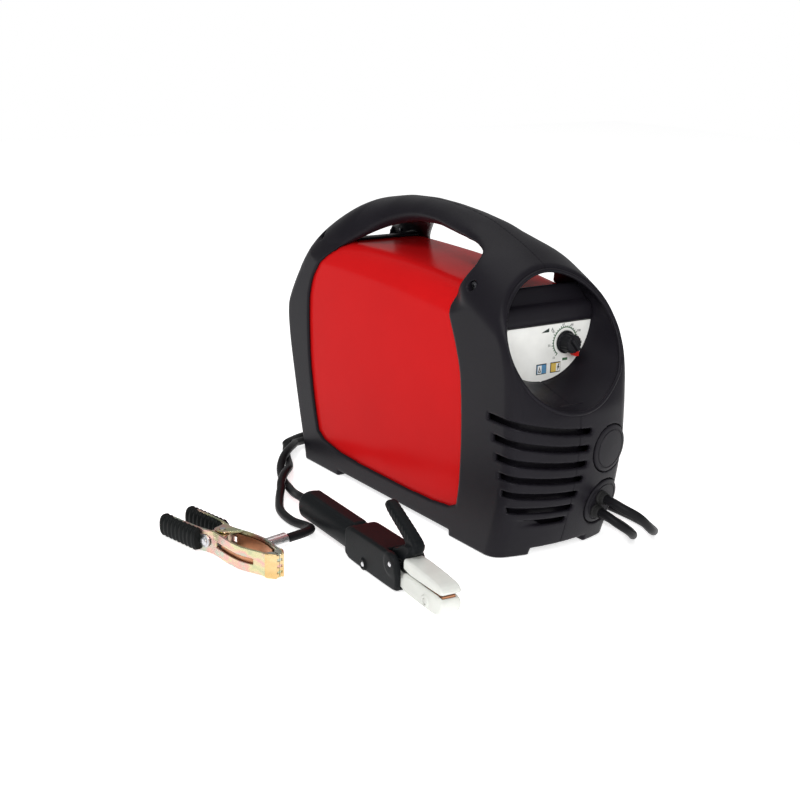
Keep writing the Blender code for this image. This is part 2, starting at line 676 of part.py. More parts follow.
def works():
    """Circuit board and the main parts on it."""
    green = material("board_green", (0.02, 0.2, 0.08), 0.4)
    board = block("power_board", (-48, -88, 20), (48, 96, 21.6))
    finish(board, green, False)
    alloy = material("heatsink_alloy", (0.7, 0.7, 0.72), 0.35, 1.0)
    sink = block("heatsink", (-44, -70, 21.9), (-8, 40, 30))
    for i in range(6):
        x = -44 + i * 6.8
        join(sink, block("fin", (x, -70, 28), (x + 2.0, 40, 78)))
    sink.name = "heatsink"
    finish(sink, alloy, False)
    ferrite = material("ferrite", (0.06, 0.06, 0.065), 0.6)
    core = block("transformer", (6, 8, 21.9), (44, 52, 66))
    cut(core, block("window", (-10, 16, 30), (60, 22, 58)), block("window", (-10, 38, 30), (60, 44, 58)))
    core.name = "transformer"
    finish(core, ferrite, False)
    copper = material("copper_winding", (0.65, 0.3, 0.12), 0.4, 0.6)
    choke = lathe("output_choke", ((9, 0), (22, 0), (23, 3), (23, 17), (22, 20), (9, 20), (8, 17), (8, 3)), 24)
    place(choke, (22, -38, 21.9))
    finish(choke, copper)
    sleeve = material("capacitor_sleeve", (0.03, 0.05, 0.16), 0.35)
    for name, x in (("capacitor_left", -28), ("capacitor_right", 2)):
        can = lathe(name, ((0, 0), (12.5, 0), (12.5, 1.5), (12.1, 2.2), (12.5, 3), (12.5, 44), (11.5, 45), (0, 45)))
        place(can, (x, 68, 21.9))
        finish(can, sleeve)
    strap = block("control_board", (4, -109.2, 21.9), (46, -107.6, 172))
    finish(strap, green, False)


def tube(name, points, radius):
    """One stretch of lead, swept round along a smooth line through hand-set points."""
    curve = bpy.data.curves.new(name, "CURVE")
    curve.dimensions = "3D"
    curve.bevel_depth = radius * MM
    curve.bevel_resolution = 2
    curve.use_fill_caps = True
    line = smooth_line(points, radius * 5.0)
    spline = curve.splines.new("POLY")
    spline.points.add(len(line) - 1)
    for i, p in enumerate(line):
        spline.points[i].co = (p[0] * MM, p[1] * MM, p[2] * MM, 1.0)
    obj = bpy.data.objects.new(name, curve)
    bpy.context.scene.collection.objects.link(obj)
    curve.materials.append(material("lead_rubber", (0.02, 0.02, 0.022), 0.6))
    return obj


def smooth_line(points, step):
    """Even samples of a Catmull-Rom line through the points."""
    pts = [Vector(points[0])] + [Vector(p) for p in points] + [Vector(points[-1])]
    dense = []
    for i in range(1, len(pts) - 2):
        a, b, c, d = pts[i - 1:i + 3]
        for k in range(24):
            t = k / 24.0
            dense.append(0.5 * (2 * b + (c - a) * t + (2 * a - 5 * b + 4 * c - d) * t * t
                                + (3 * b - a - 3 * c + d) * t ** 3))
    dense.append(pts[-1])
    spans = [0.0]
    for a, b in zip(dense, dense[1:]):
        spans.append(spans[-1] + (b - a).length)
    count = max(3, int(round(spans[-1] / step)) + 1)
    wanted = np.linspace(0, spans[-1], count)
    cols = [np.interp(wanted, spans, [p[k] for p in dense]) for k in range(3)]
    return list(zip(*cols))


FRONT_ROUTES = (
    ("holder_lead_front", ((30.8, -152, 30.2), (30.8, -164, 30.2), (30.8, -177, 30.2), (34, -188, 26),
                           (45, -191, 18), (58, -183, 9), (70, -166, 4.6), (76, -140, 4.2),
                           (77, -90, 4.2), (72, -30, 4.2), (70, 30, 4.2), (74, 75, 5.0), (84.0, 103.4, 8.8))),
    ("clamp_lead_front", ((33.8, -154, 41.8), (33.8, -166, 41.8), (33.8, -178, 41.8), (37, -191, 38.5),
                          (48, -199, 31), (65, -196, 17), (84, -180, 7), (95, -155, 4.4),
                          (97, -120, 4.2), (93, -80, 4.3), (86, -40, 6.0), (84.0, -13.6, 8.8))),
)
REAR_ROUTES = (
    ("holder_lead_rear", ((92.0, 177.6, 8.8), (60, 184, 5.0), (20, 187, 4.2), (-18, 184, 4.2),
                          (-50, 167, 4.6), (-70, 143, 5.0), (-90, 116, 5.0), (-111, 86, 5.0),
                          (-127, 58, 6.5), (-135.5, 34, 11.0), (-138.2, 14, 15.0), (-138.9, 3.5, 15.0),
                          (-139.6, -7.5, 15.0))),
    ("clamp_lead_rear", ((166.0, 53.6, 8.8), (178, 90, 4.4), (184, 140, 4.2), (166, 186, 4.2),
                         (120, 207, 4.2), (60, 204, 4.2), (10, 205, 4.2), (-34, 198, 4.2),
                         (-66, 170, 4.6), (-82, 144, 5.0), (-102, 117, 5.0), (-124, 86, 5.0),
                         (-143, 58, 5.0), (-157, 26, 4.6), (-161, -4, 5.0), (-159, -26, 7.5),
                         (-163, -40, 10.5), (-173, -47.2, 11.9), (-186, -49.9, 11.9),
                         (-204.0, -53.4, 11.9))),
)


def leads():
    for name, route in FRONT_ROUTES + REAR_ROUTES:
        tube(name, route, LEAD_RADIUS)
    rubber = material("lead_rubber", (0.02, 0.02, 0.022), 0.6)
    for name, x, y in COILS:
        profile = []
        for i in range(12):
            turn = 2 * math.pi * i / 12
            profile.append((COIL_RADIUS + COIL_THICK * math.cos(turn), COIL_THICK * math.sin(turn)))
        ring = lathe(name, profile, 36)
        place(ring, (x, y, COIL_THICK + 0.3))
        finish(ring, rubber)


def holder_place(obj, at=(0, 0, 0), turn=None):
    base = Matrix.Rotation(HOLDER_TURN, 3, "Z")
    where = Vector(HOLDER_TAIL) + base @ Vector(at)
    return place(obj, where, base @ turn if turn is not None else base)


HOLDER_PIVOT = (157.0, 0.0, 6.0)


def holder():
    """Electrode holder along local x, tail at the origin, its middle line 15 mm up."""
    black = material("holder_black", (0.022, 0.022, 0.024), 0.5)
    handle = lathe("holder_handle", ((LEAD_RADIUS + 0.9, 0), (9.5, 0), (11.6, 2.5), (12.2, 8), (12.2, 84),
                                     (11.5, 88), (LEAD_RADIUS + 0.9, 88)), 32)
    handle.data.transform(Matrix.Rotation(math.radians(90), 4, "Y"))
    holder_place(handle)
    finish(handle, black)
    outline = ((84.6, -12.5), (92, -14.6), (158, -14.6), (166, -13.0), (166, 4.0), (150, 13.5),
               (96, 13.5), (88.6, 11.5))
    body = loft("holder_body", [[(x, y * 13.0, z) for x, z in outline] for y in (-1, 1)])
    cut(body, lathe_x("tail_room", ((0, 60), (12.6, 60), (12.6, 88.4), (0, 88.4))))
    cut(body, block("jaw_room", (118, -8.8, -11.5), (190, 8.8, 30)))
    pin_way = lathe("pin_way", ((0, -20), (2.3, -20), (2.3, 20), (0, 20)), 20)
    pin_way.data.transform(Matrix.Rotation(math.radians(90), 4, "X"))
    pin_way.data.transform(Matrix.Translation(Vector(HOLDER_PIVOT) * MM))
    cut(body, pin_way)
    body.name = "holder_body"
    holder_place(body)
    finish(body, black)
    steel = material("pin_steel", (0.6, 0.6, 0.6), 0.3, 1.0)
    pin = lathe("holder_pin", ((0, -14.2), (2.0, -14.2), (2.0, 14.2), (0, 14.2)), 20)
    pin.data.transform(Matrix.Rotation(math.radians(90), 4, "X"))
    holder_place(pin, HOLDER_PIVOT)
    finish(pin, steel)
    jaws(black)


def lathe_x(name, profile):
    """Turned solid about local x; the profile is (radius, x)."""
    obj = lathe(name, profile, 32)
    obj.data.transform(Matrix.Rotation(math.radians(90), 4, "Y"))
    return obj


def jaws(black):
    white = material("jaw_white", (0.72, 0.72, 0.70), 0.45)
    copper = material("jaw_copper", (0.6, 0.32, 0.18), 0.35, 0.9)
    lower = loft("holder_jaw_lower", [[(x, y * 8.3, z) for x, z in (
        (120, -11.0), (167, -11.0), (176, -12.8), (206, -13.6), (216, -12.6), (221, -8.5), (221.6, -5.5), (217, -3.4), (168, -2.2),
        (120, -2.2))] for y in (-1, 1)])
    cut(lower, block("inlay", (186, -6, -7.0), (219, 6, 8)))
    holder_place(lower)
    lower.name = "holder_jaw_lower"
    finish(lower, white, False)
    strip = block("contact_lower", (186.4, -5.6, -6.6), (218.4, 5.6, -2.6))
    for i in range(3):
        x = 192.5 + i * 8.5
        cut(strip, block("groove", (x - 1.4, -10, -3.8), (x + 1.4, 10, 0)))
    holder_place(strip)
    strip.name = "contact_lower"
    finish(strip, copper, False)
    px, _, pz = HOLDER_PIVOT
    lever_line = ((150, -1.2), (168, -1.2), (218, -1.0), (222, 1.2), (221.5, 6), (216, 9.6), (180, 12.0),
                  (172, 12.0), (166, 12.5), (150, 8))
    upper = loft("holder_jaw_upper", [[(x - px, y * 8.3, z - pz) for x, z in lever_line] for y in (-1, 1)])
    cut(upper, block("inlay", (186 - px, -6, -3.0 - pz), (219.5 - px, 6, 3.4 - pz)))
    way = lathe("way", ((0, -20), (2.3, -20), (2.3, 20), (0, 20)), 20)
    way.data.transform(Matrix.Rotation(math.radians(90), 4, "X"))
    cut(upper, way, block("lever_room", (-30, -20, -30), (9.3, 20, 30)))
    holder_place(upper, HOLDER_PIVOT)
    upper.name = "holder_jaw_upper"
    finish(upper, white, False)
    strip = block("contact_upper", (186.4 - px, -5.6, -1.0 - pz), (219.0 - px, 5.6, 3.0 - pz))
    for i in range(3):
        x = 192.5 + i * 8.5 - px
        cut(strip, block("groove", (x - 1.4, -10, -3 - pz), (x + 1.4, 10, 0.6 - pz)))
    holder_place(strip, HOLDER_PIVOT)
    strip.name = "contact_upper"
    finish(strip, copper, False)
    arm = ((-24, -1.0), (-10, -1.5), (-4, -6.4), (9.0, -6.4), (9.0, 7.2), (19.5, 12.5), (20.5, 17.5), (18.0, 22.5), (-17.0, 39.5),
           (-22.5, 41.5), (-25.5, 38.5), (-24.0, 34.2), (8.2, 16.0), (7.0, 12.5), (-6.5, 6.2), (-24, 3.0))
    lever = loft("holder_lever", [[(x, y * 5.2, z) for x, z in arm] for y in (-1, 1)])
    way = lathe("way", ((0, -20), (2.3, -20), (2.3, 20), (0, 20)), 20)
    way.data.transform(Matrix.Rotation(math.radians(90), 4, "X"))
    cut(lever, way)
    holder_place(lever, HOLDER_PIVOT)
    lever.name = "holder_lever"
    finish(lever, black, False)
    steel = material("spring_steel", (0.5, 0.5, 0.52), 0.3, 1.0)
    spring = coil_spring("holder_spring", 2.6, 0.55, 6.6, 4)
    holder_place(spring, (138.5, 0, -2.0 + 0.1))
    finish(spring, steel)


def coil_spring(name, radius, wire, height, turns):
    """Helical wire with closed ends, standing on its local origin."""
    steps = turns * 10
    rings = []
    for i in range(steps + 1):
        turn = 2 * math.pi * i / 10
        rise = wire + (height - 2 * wire) * i / steps
        centre = Vector((radius * math.cos(turn), radius * math.sin(turn), rise))
        out = Vector((math.cos(turn), math.sin(turn), 0))
        ring = []
        for k in range(6):
            a = 2 * math.pi * k / 6
            ring.append(centre + out * (wire * math.cos(a)) + Vector((0, 0, wire * math.sin(a))))
        rings.append(ring)
    return loft(name, rings)


CLAMP_PIVOT = (62.0, 0.0, 10.0)


def clamp_place(obj, at=(0, 0, 0), turn=None):
    base = Matrix.Rotation(CLAMP_TURN, 3, "Z")
    where = Vector(CLAMP_END) + base @ Vector(at)
    return place(obj, where, base @ turn if turn is not None else base)


ARM_LINE = ((14, 13.0), (44, 12.0), (56, 10.0), (64, 9.4), (84, 12.5), (100, 13.0), (116, 9.0), (125, 6.5),
            (131, 1.6))


def strip_outline(line, side, thick):
    """Thin bent outline on one side of the clamp."""
    outer = [(x, side * y) for x, y in line]
    inner = []
    for i, (x, y) in enumerate(line):
        before = line[max(0, i - 1)]
        after = line[min(len(line) - 1, i + 1)]
        run = Vector((after[0] - before[0], after[1] - before[1])).normalized()
        inner.append((x + run.y * thick, side * (y - run.x * thick)))
    return outer + list(reversed(inner))


def clamp():
    zinc = material("yellow_zinc", (0.62, 0.55, 0.33), 0.3, 0.9)
    rubber = material("grip_rubber", (0.02, 0.02, 0.02), 0.65)
    px, _, pz = CLAMP_PIVOT
    for name, side, ear_z in (("clamp_arm_fixed", 1, 2.4), ("clamp_arm_moving", -1, 4.5)):
        line = [(x - px, y) for x, y in ARM_LINE]
        arm = prism_z(name, strip_outline(line, side, 1.6), -9.6, 9.6)
        for flip in (-1, 1):
            top = flip * (9.6 - (0 if side > 0 else 1.9))
            low = min(top, top - flip * 1.5)
            high = max(top, top - flip * 1.5)
            ear = prism_z("ear", [(-9, side * 9.2), (-6, -side * 3.5), (0, -side * 5.5), (6, -side * 3.5),
                                  (14, side * 9.8), (4, side * 9.0)], low, high)
            join(arm, ear)
        hole = lathe("hole", ((0, -20), (2.6, -20), (2.6, 20), (0, 20)), 20)
        cut(arm, hole)
        tip = prism_z("tip", [(60, side * 7.8), (69.5, side * 3.6), (69.5, side * 0.5), (62, side * 0.5)],
                      -9.6, 9.6)
        join(arm, tip)
        for z in (-6.2, 0, 6.2):
            cut(arm, block("tooth", (66, -0.9, z - 1.2), (72, 0.9, z + 1.2)))
        arm.name = name
        clamp_place(arm, CLAMP_PIVOT)
        finish(arm, zinc, False)
        ridges = []
        for i in range(11):
            x = 0.6 + i * 4.5
            ridges.append((x, 10.4 if i % 2 else 9.4))
        grip_name = name.replace("arm", "grip")
        rings = []
        for x, half in [(0.0, 7.4)] + ridges + [(48.5, 9.4)]:
            scale = half / 10.4
            rings.append([(x - px, side * 13.0 + 5.2 * scale * c, 9.6 * scale * s)
                          for c, s in ring_points((0, 0), 1.0, 12)])
        grip = loft(grip_name, rings)
        room = prism_z("room", strip_outline([(x - px, y) for x, y in ((11, 13.2), (44, 12.1), (52, 10.8))],
                                             side, 1.6), -9.9, 9.9)
        wide = copy_of(room, "room_wide")
        wide.data.transform(Matrix.Translation((0, 0.35 * MM, 0)))
        room.data.transform(Matrix.Translation((0, -0.35 * MM, 0)))
        join(room, wide)
        cut(grip, room)
        grip.name = grip_name
        clamp_place(grip, CLAMP_PIVOT)
        finish(grip, rubber)
    steel = material("pin_steel", (0.6, 0.6, 0.6), 0.3, 1.0)
    pin = lathe("clamp_pin", ((0, -9.95), (2.3, -9.95), (2.3, 9.95), (0, 9.95)), 20)
    clamp_place(pin, CLAMP_PIVOT)
    finish(pin, steel)
    coil = coil_spring("clamp_spring", 3.9, 0.7, 11.2, 4)
    clamp_place(coil, (px, 0, pz - 5.6))
    finish(coil, material("spring_steel", (0.5, 0.5, 0.52), 0.3, 1.0))
    clamp_lug()


def clamp_lug():
    """Cable lug and its bolt on the fixed arm."""
    tin = material("lug_tin", (0.7, 0.7, 0.7), 0.3, 1.0)
    lug = block("clamp_lug", (84, 13.3, 5.5), (104, 15.3, 17.5))
    barrel = lathe("barrel", ((0, 0), (5.6, 0), (5.6, 21), (LEAD_RADIUS + 0.35, 21), (LEAD_RADIUS + 0.35, 8),
                              (0, 8)), 24)
    barrel.data.transform(Matrix.Translation(Vector((96, 14.6, 11.5)) * MM)
                          @ Matrix.Rotation(math.radians(-90), 4, "X"))
    join(lug, barrel)
    clamp_place(lug)
    lug.name = "clamp_lug"
    finish(lug, tin)


def main():
    clear_scene()
    frame_halves()
    screws()
    cover()
    base_pan()
    fascia()
    control_plate()
    knob()
    potentiometer()
    inserts()
    bushes()
    rear_panel()
    mains_switch()
    gland()
    fan()
    works()
    leads()
    holder()
    clamp()


main()
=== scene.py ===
# %% [markdown]
# # A portable stick welder
# A black moulded carrying frame wraps a glossy red sheet cover. An eye-shaped opening in the nose holds the
# controls, and two rubber leads run round the machine to an electrode holder and an earth clamp on the floor.
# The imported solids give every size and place. This script gives the parts their finished skins.

import json
import math

import bmesh
import bpy
import numpy as np
from mathutils import Matrix, Vector

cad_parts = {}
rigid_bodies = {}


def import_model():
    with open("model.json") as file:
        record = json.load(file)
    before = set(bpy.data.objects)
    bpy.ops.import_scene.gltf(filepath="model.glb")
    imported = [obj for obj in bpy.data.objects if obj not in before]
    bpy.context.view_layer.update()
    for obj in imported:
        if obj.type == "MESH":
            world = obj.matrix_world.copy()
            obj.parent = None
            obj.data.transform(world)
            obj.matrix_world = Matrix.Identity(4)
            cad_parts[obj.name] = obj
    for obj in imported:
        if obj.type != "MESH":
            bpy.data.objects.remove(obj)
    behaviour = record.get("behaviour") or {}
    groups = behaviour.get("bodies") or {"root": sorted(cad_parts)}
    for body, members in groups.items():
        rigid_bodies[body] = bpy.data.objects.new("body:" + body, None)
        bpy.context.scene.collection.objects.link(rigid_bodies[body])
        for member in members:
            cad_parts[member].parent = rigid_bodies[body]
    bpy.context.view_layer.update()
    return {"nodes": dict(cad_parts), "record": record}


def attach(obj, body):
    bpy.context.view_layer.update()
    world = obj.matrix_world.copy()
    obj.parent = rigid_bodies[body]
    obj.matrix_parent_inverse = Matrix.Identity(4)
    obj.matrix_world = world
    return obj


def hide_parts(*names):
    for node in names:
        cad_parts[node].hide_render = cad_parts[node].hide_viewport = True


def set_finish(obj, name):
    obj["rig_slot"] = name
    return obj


for leftover in list(bpy.data.objects):
    bpy.data.objects.remove(leftover, do_unlink=True)
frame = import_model()
NODES = frame["nodes"]
MM = 0.001
ROOT = "welder"
print("CAD nodes:", len(NODES))

# %% [markdown]
# ## Camera
# The machine is seen from its front left corner, a little above it, with a long lens. The camera is set first,
# because it decides which faces deserve the most work: the eye, the near side and the two tools.

# %% Camera
CAMERA_AT = Vector((-0.6923, -0.9325, 0.4196))
CAMERA_TURN = -0.6028
CAMERA_TILT = 0.2805
CAMERA_ROLL = 0.024


def make_camera():
    data = bpy.data.cameras.new("camera")
    data.lens = 61.335
    data.sensor_width = 36.0
    data.clip_start = 0.01
    data.clip_end = 50.0
    made = bpy.data.objects.new("camera", data)
    bpy.context.scene.collection.objects.link(made)
    back = Vector((math.sin(CAMERA_TURN) * math.cos(CAMERA_TILT),
                   -math.cos(CAMERA_TURN) * math.cos(CAMERA_TILT), math.sin(CAMERA_TILT)))
    right = (-back).cross(Vector((0, 0, 1))).normalized()
    up = right.cross(-back)
    across = math.cos(CAMERA_ROLL) * right + math.sin(CAMERA_ROLL) * up
    above = -math.sin(CAMERA_ROLL) * right + math.cos(CAMERA_ROLL) * up
    turn = Matrix((across, above, back)).transposed()
    made.matrix_world = Matrix.Translation(CAMERA_AT) @ turn.to_4x4()
    bpy.context.scene.camera = made


make_camera()
print("camera at", tuple(CAMERA_AT))

# %% [markdown]
# ## Light and floor
# A white room: the floor and the sky are near white, a large soft lamp stands over the left shoulder and a
# smaller one in front, so that the moulding shows one soft streak down each rounded pillar.


# %% Light and floor
def area_light(name, at, aim, size, power):
    data = bpy.data.lights.new(name, "AREA")
    data.shape = "RECTANGLE"
    data.size, data.size_y = size
    data.energy = power
    made = bpy.data.objects.new(name, data)
    bpy.context.scene.collection.objects.link(made)
    made.location = at
    made.rotation_mode = "QUATERNION"
    made.rotation_quaternion = (Vector(aim) - Vector(at)).to_track_quat("-Z", "Y")


def white_room():
    world = bpy.data.worlds.new("room")
    bpy.context.scene.world = world
    world.use_nodes = True
    tree = world.node_tree
    tree.nodes.clear()
    path = tree.nodes.new("ShaderNodeLightPath")
    seen = tree.nodes.new("ShaderNodeMath")
    seen.operation = "MAXIMUM"
    tree.links.new(path.outputs["Is Camera Ray"], seen.inputs[0])
    tree.links.new(path.outputs["Is Transmission Ray"], seen.inputs[1])
    mirrored = tree.nodes.new("ShaderNodeMath")
    mirrored.operation = "MULTIPLY"
    mirrored.inputs[1].default_value = 0.12
    tree.links.new(path.outputs["Is Glossy Ray"], mirrored.inputs[0])
    lit = tree.nodes.new("ShaderNodeMath")
    lit.operation = "MULTIPLY_ADD"
    lit.inputs[1].default_value = 0.72
    lit.inputs[2].default_value = 0.28
    tree.links.new(seen.outputs[0], lit.inputs[0])
    total = tree.nodes.new("ShaderNodeMath")
    total.operation = "ADD"
    tree.links.new(lit.outputs[0], total.inputs[0])
    tree.links.new(mirrored.outputs[0], total.inputs[1])
    sky = tree.nodes.new("ShaderNodeBackground")
    sky.inputs["Color"].default_value = (1.0, 1.0, 1.0, 1.0)
    tree.links.new(total.outputs[0], sky.inputs["Strength"])
    out = tree.nodes.new("ShaderNodeOutputWorld")
    tree.links.new(sky.outputs[0], out.inputs[0])


def make_floor():
    mesh = bpy.data.meshes.new("floor")
    half = 3.2
    mesh.from_pydata([(-half, -half, -0.0006), (half, -half, -0.0006), (half, half, -0.0006),
                      (-half, half, -0.0006)], [], [(0, 1, 2, 3)])
    made = bpy.data.objects.new("floor", mesh)
    bpy.context.scene.collection.objects.link(made)
    paint = bpy.data.materials.new("floor_white")
    paint.use_nodes = True
    shader = paint.node_tree.nodes["Principled BSDF"]
    shader.inputs["Base Color"].default_value = (0.93, 0.93, 0.93, 1.0)
    shader.inputs["Roughness"].default_value = 0.9
    shader.inputs["Specular IOR Level"].default_value = 0.0
    shader.inputs["Emission Color"].default_value = (1.0, 1.0, 1.0, 1.0)
    shader.inputs["Emission Strength"].default_value = 0.70
    mesh.materials.append(paint)


bpy.context.scene.view_settings.view_transform = "Standard"
white_room()
make_floor()
area_light("key", (-1.5, -0.9, 1.9), (0.0, 0.0, 0.12), (1.4, 1.0), 22.0)
area_light("streak", (-0.95, -1.45, 1.0), (-0.03, -0.1, 0.18), (0.16, 0.5), 10.0)
area_light("front", (0.35, -2.0, 0.9), (0.0, 0.0, 0.12), (0.5, 1.4), 5.0)
area_light("top", (0.3, 0.5, 2.3), (0.0, 0.0, 0.1), (1.6, 1.6), 12.0)

# %% [markdown]
# ## Finishes
# Every finish is one Principled shader fed by a few shared effects: a fine moulded grain, soft blotches of
# roughness, and a brushed or passivated metal. The effects are node groups with named sockets, so that one
# idea is written once and each material only sets its own numbers.


# %% Shared effects
def new_group(name, inputs, outputs):
    group = bpy.data.node_groups.new(name, "ShaderNodeTree")
    for socket, kind, value in inputs:
        made = group.interface.new_socket(socket, in_out="INPUT", socket_type=kind)
        made.default_value = value
    for socket, kind in outputs:
        group.interface.new_socket(socket, in_out="OUTPUT", socket_type=kind)
    entry = group.nodes.new("NodeGroupInput")
    leave = group.nodes.new("NodeGroupOutput")
    return group, entry, leave


def noise(group, place, scale, detail, stretch=None):
    """A noise texture on the object's own coordinates, with an optional stretch along an axis."""
    texture = group.nodes.new("ShaderNodeTexNoise")
    texture.inputs["Detail"].default_value = detail
    if stretch is not None:
        mapping = group.nodes.new("ShaderNodeMapping")
        mapping.inputs["Scale"].default_value = stretch
        group.links.new(place, mapping.inputs["Vector"])
        place = mapping.outputs["Vector"]
    group.links.new(place, texture.inputs["Vector"])
    if isinstance(scale, float):
        texture.inputs["Scale"].default_value = scale
    else:
        group.links.new(scale, texture.inputs["Scale"])
    return texture.outputs["Fac"]


def math_node(tree, operation, a, b):
    node = tree.nodes.new("ShaderNodeMath")
    node.operation = operation
    for socket, value in zip(node.inputs, (a, b)):
        if isinstance(value, (int, float)):
            socket.default_value = value
        else:
            tree.links.new(value, socket)
    return node.outputs[0]


def grain_group():
    """Fine pebbled grain of a moulding: a height, and a roughness that wanders slowly."""
    group, entry, leave = new_group(
        "moulded_grain",
        (("Scale", "NodeSocketFloat", 1400.0), ("Roughness", "NodeSocketFloat", 0.45),
         ("Wander", "NodeSocketFloat", 0.12)),
        (("Height", "NodeSocketFloat"), ("Roughness", "NodeSocketFloat"), ("Mask", "NodeSocketFloat")))
    place = group.nodes.new("ShaderNodeTexCoord").outputs["Object"]
    cells = group.nodes.new("ShaderNodeTexVoronoi")
    group.links.new(place, cells.inputs["Vector"])
    group.links.new(entry.outputs["Scale"], cells.inputs["Scale"])
    fine = noise(group, place, entry.outputs["Scale"], 2.0)
    group.links.new(math_node(group, "ADD", cells.outputs["Distance"], fine), leave.inputs["Height"])
    slow = noise(group, place, 28.0, 4.0)
    shift = math_node(group, "MULTIPLY", math_node(group, "SUBTRACT", slow, 0.5), entry.outputs["Wander"])
    group.links.new(math_node(group, "ADD", entry.outputs["Roughness"], shift), leave.inputs["Roughness"])
    group.links.new(slow, leave.inputs["Mask"])
    return group


def paint_group():
    """Sprayed gloss paint: long orange-peel waves and faint handling haze."""
    group, entry, leave = new_group(
        "gloss_paint",
        (("Peel", "NodeSocketFloat", 240.0), ("Roughness", "NodeSocketFloat", 0.2)),
        (("Height", "NodeSocketFloat"), ("Roughness", "NodeSocketFloat"), ("Mask", "NodeSocketFloat")))
    place = group.nodes.new("ShaderNodeTexCoord").outputs["Object"]
    group.links.new(noise(group, place, entry.outputs["Peel"], 2.0), leave.inputs["Height"])
    haze = noise(group, place, 14.0, 5.0)
    shift = math_node(group, "MULTIPLY", math_node(group, "SUBTRACT", haze, 0.5), 0.09)
    group.links.new(math_node(group, "ADD", entry.outputs["Roughness"], shift), leave.inputs["Roughness"])
    group.links.new(haze, leave.inputs["Mask"])
    return group


def metal_group():
    """Drawn or stamped metal: fine lines along local x, and a slow mask for its film of colour."""
    group, entry, leave = new_group(
        "worked_metal",
        (("Lines", "NodeSocketFloat", 900.0), ("Roughness", "NodeSocketFloat", 0.3)),
        (("Height", "NodeSocketFloat"), ("Roughness", "NodeSocketFloat"), ("Film", "NodeSocketFloat")))
    place = group.nodes.new("ShaderNodeTexCoord").outputs["Object"]
    lines = noise(group, place, entry.outputs["Lines"], 2.0, (0.35, 0.06, 1.0))
    group.links.new(lines, leave.inputs["Height"])
    shift = math_node(group, "MULTIPLY", math_node(group, "SUBTRACT", lines, 0.5), 0.3)
    group.links.new(math_node(group, "ADD", entry.outputs["Roughness"], shift), leave.inputs["Roughness"])
    group.links.new(noise(group, place, 42.0, 3.0, (1.0, 1.0, 2.2)), leave.inputs["Film"])
    return group


GROUPS = {"grain": grain_group(), "paint": paint_group(), "metal": metal_group()}
print("effects:", sorted(GROUPS))


# %% [markdown]
# ## Materials
# A moulding is dark plastic with a fine grain, the sheet is sprayed gloss red and the tools are worked metal.
# Each material takes one shared effect, tints it over the effect's slow mask and sets its own plain numbers.
# Keeping them in one table makes it easy to see how the finishes relate.

# %% Materials
def finish_of(name, effect, colours, numbers, bump, coat=0.0, metallic=0.0):
    """A material: one effect, a colour ramp over its slow mask, a bump and the uniform shader numbers."""
    made = bpy.data.materials.new(name)
    made.use_nodes = True
    tree = made.node_tree
    shader = tree.nodes["Principled BSDF"]
    group = tree.nodes.new("ShaderNodeGroup")
    group.node_tree = GROUPS[effect]
    for socket, value in numbers.items():
        group.inputs[socket].default_value = value
    ramp = tree.nodes.new("ShaderNodeValToRGB")
    elements = ramp.color_ramp.elements
    for i, (at, colour) in enumerate(colours):
        element = elements[i] if i < 2 else elements.new(at)
        element.position = at
        element.color = (*colour, 1.0)
    mask = group.outputs["Film" if effect == "metal" else "Mask"]
    tree.links.new(mask, ramp.inputs["Fac"])
    tree.links.new(ramp.outputs["Color"], shader.inputs["Base Color"])
    tree.links.new(group.outputs["Roughness"], shader.inputs["Roughness"])
    relief = tree.nodes.new("ShaderNodeBump")
    relief.inputs["Strength"].default_value = bump
    relief.inputs["Distance"].default_value = 0.0002
    tree.links.new(group.outputs["Height"], relief.inputs["Height"])
    tree.links.new(relief.outputs["Normal"], shader.inputs["Normal"])
    shader.inputs["Metallic"].default_value = metallic
    shader.inputs["Coat Weight"].default_value = coat
    shader.inputs["Coat Roughness"].default_value = 0.08
    shader.inputs["Specular IOR Level"].default_value = {"grain": 0.1, "paint": 0.03, "metal": 0.5}[effect]
    return made


def pair(colour, spread=0.12):
    """Two close shades of one colour, for a ramp."""
    return ((0.3, tuple(c * (1 - spread) for c in colour)), (0.7, tuple(c * (1 + spread) for c in colour)))


def moulded(name, colour, roughness, scale=1400.0, bump=0.25, coat=0.0):
    return finish_of(name, "grain", pair(colour), {"Scale": scale, "Roughness": roughness}, bump, coat)


def metal(name, colours, roughness, lines=900.0, bump=0.12):
    return finish_of(name, "metal", colours, {"Lines": lines, "Roughness": roughness}, bump, 0.0, 1.0)


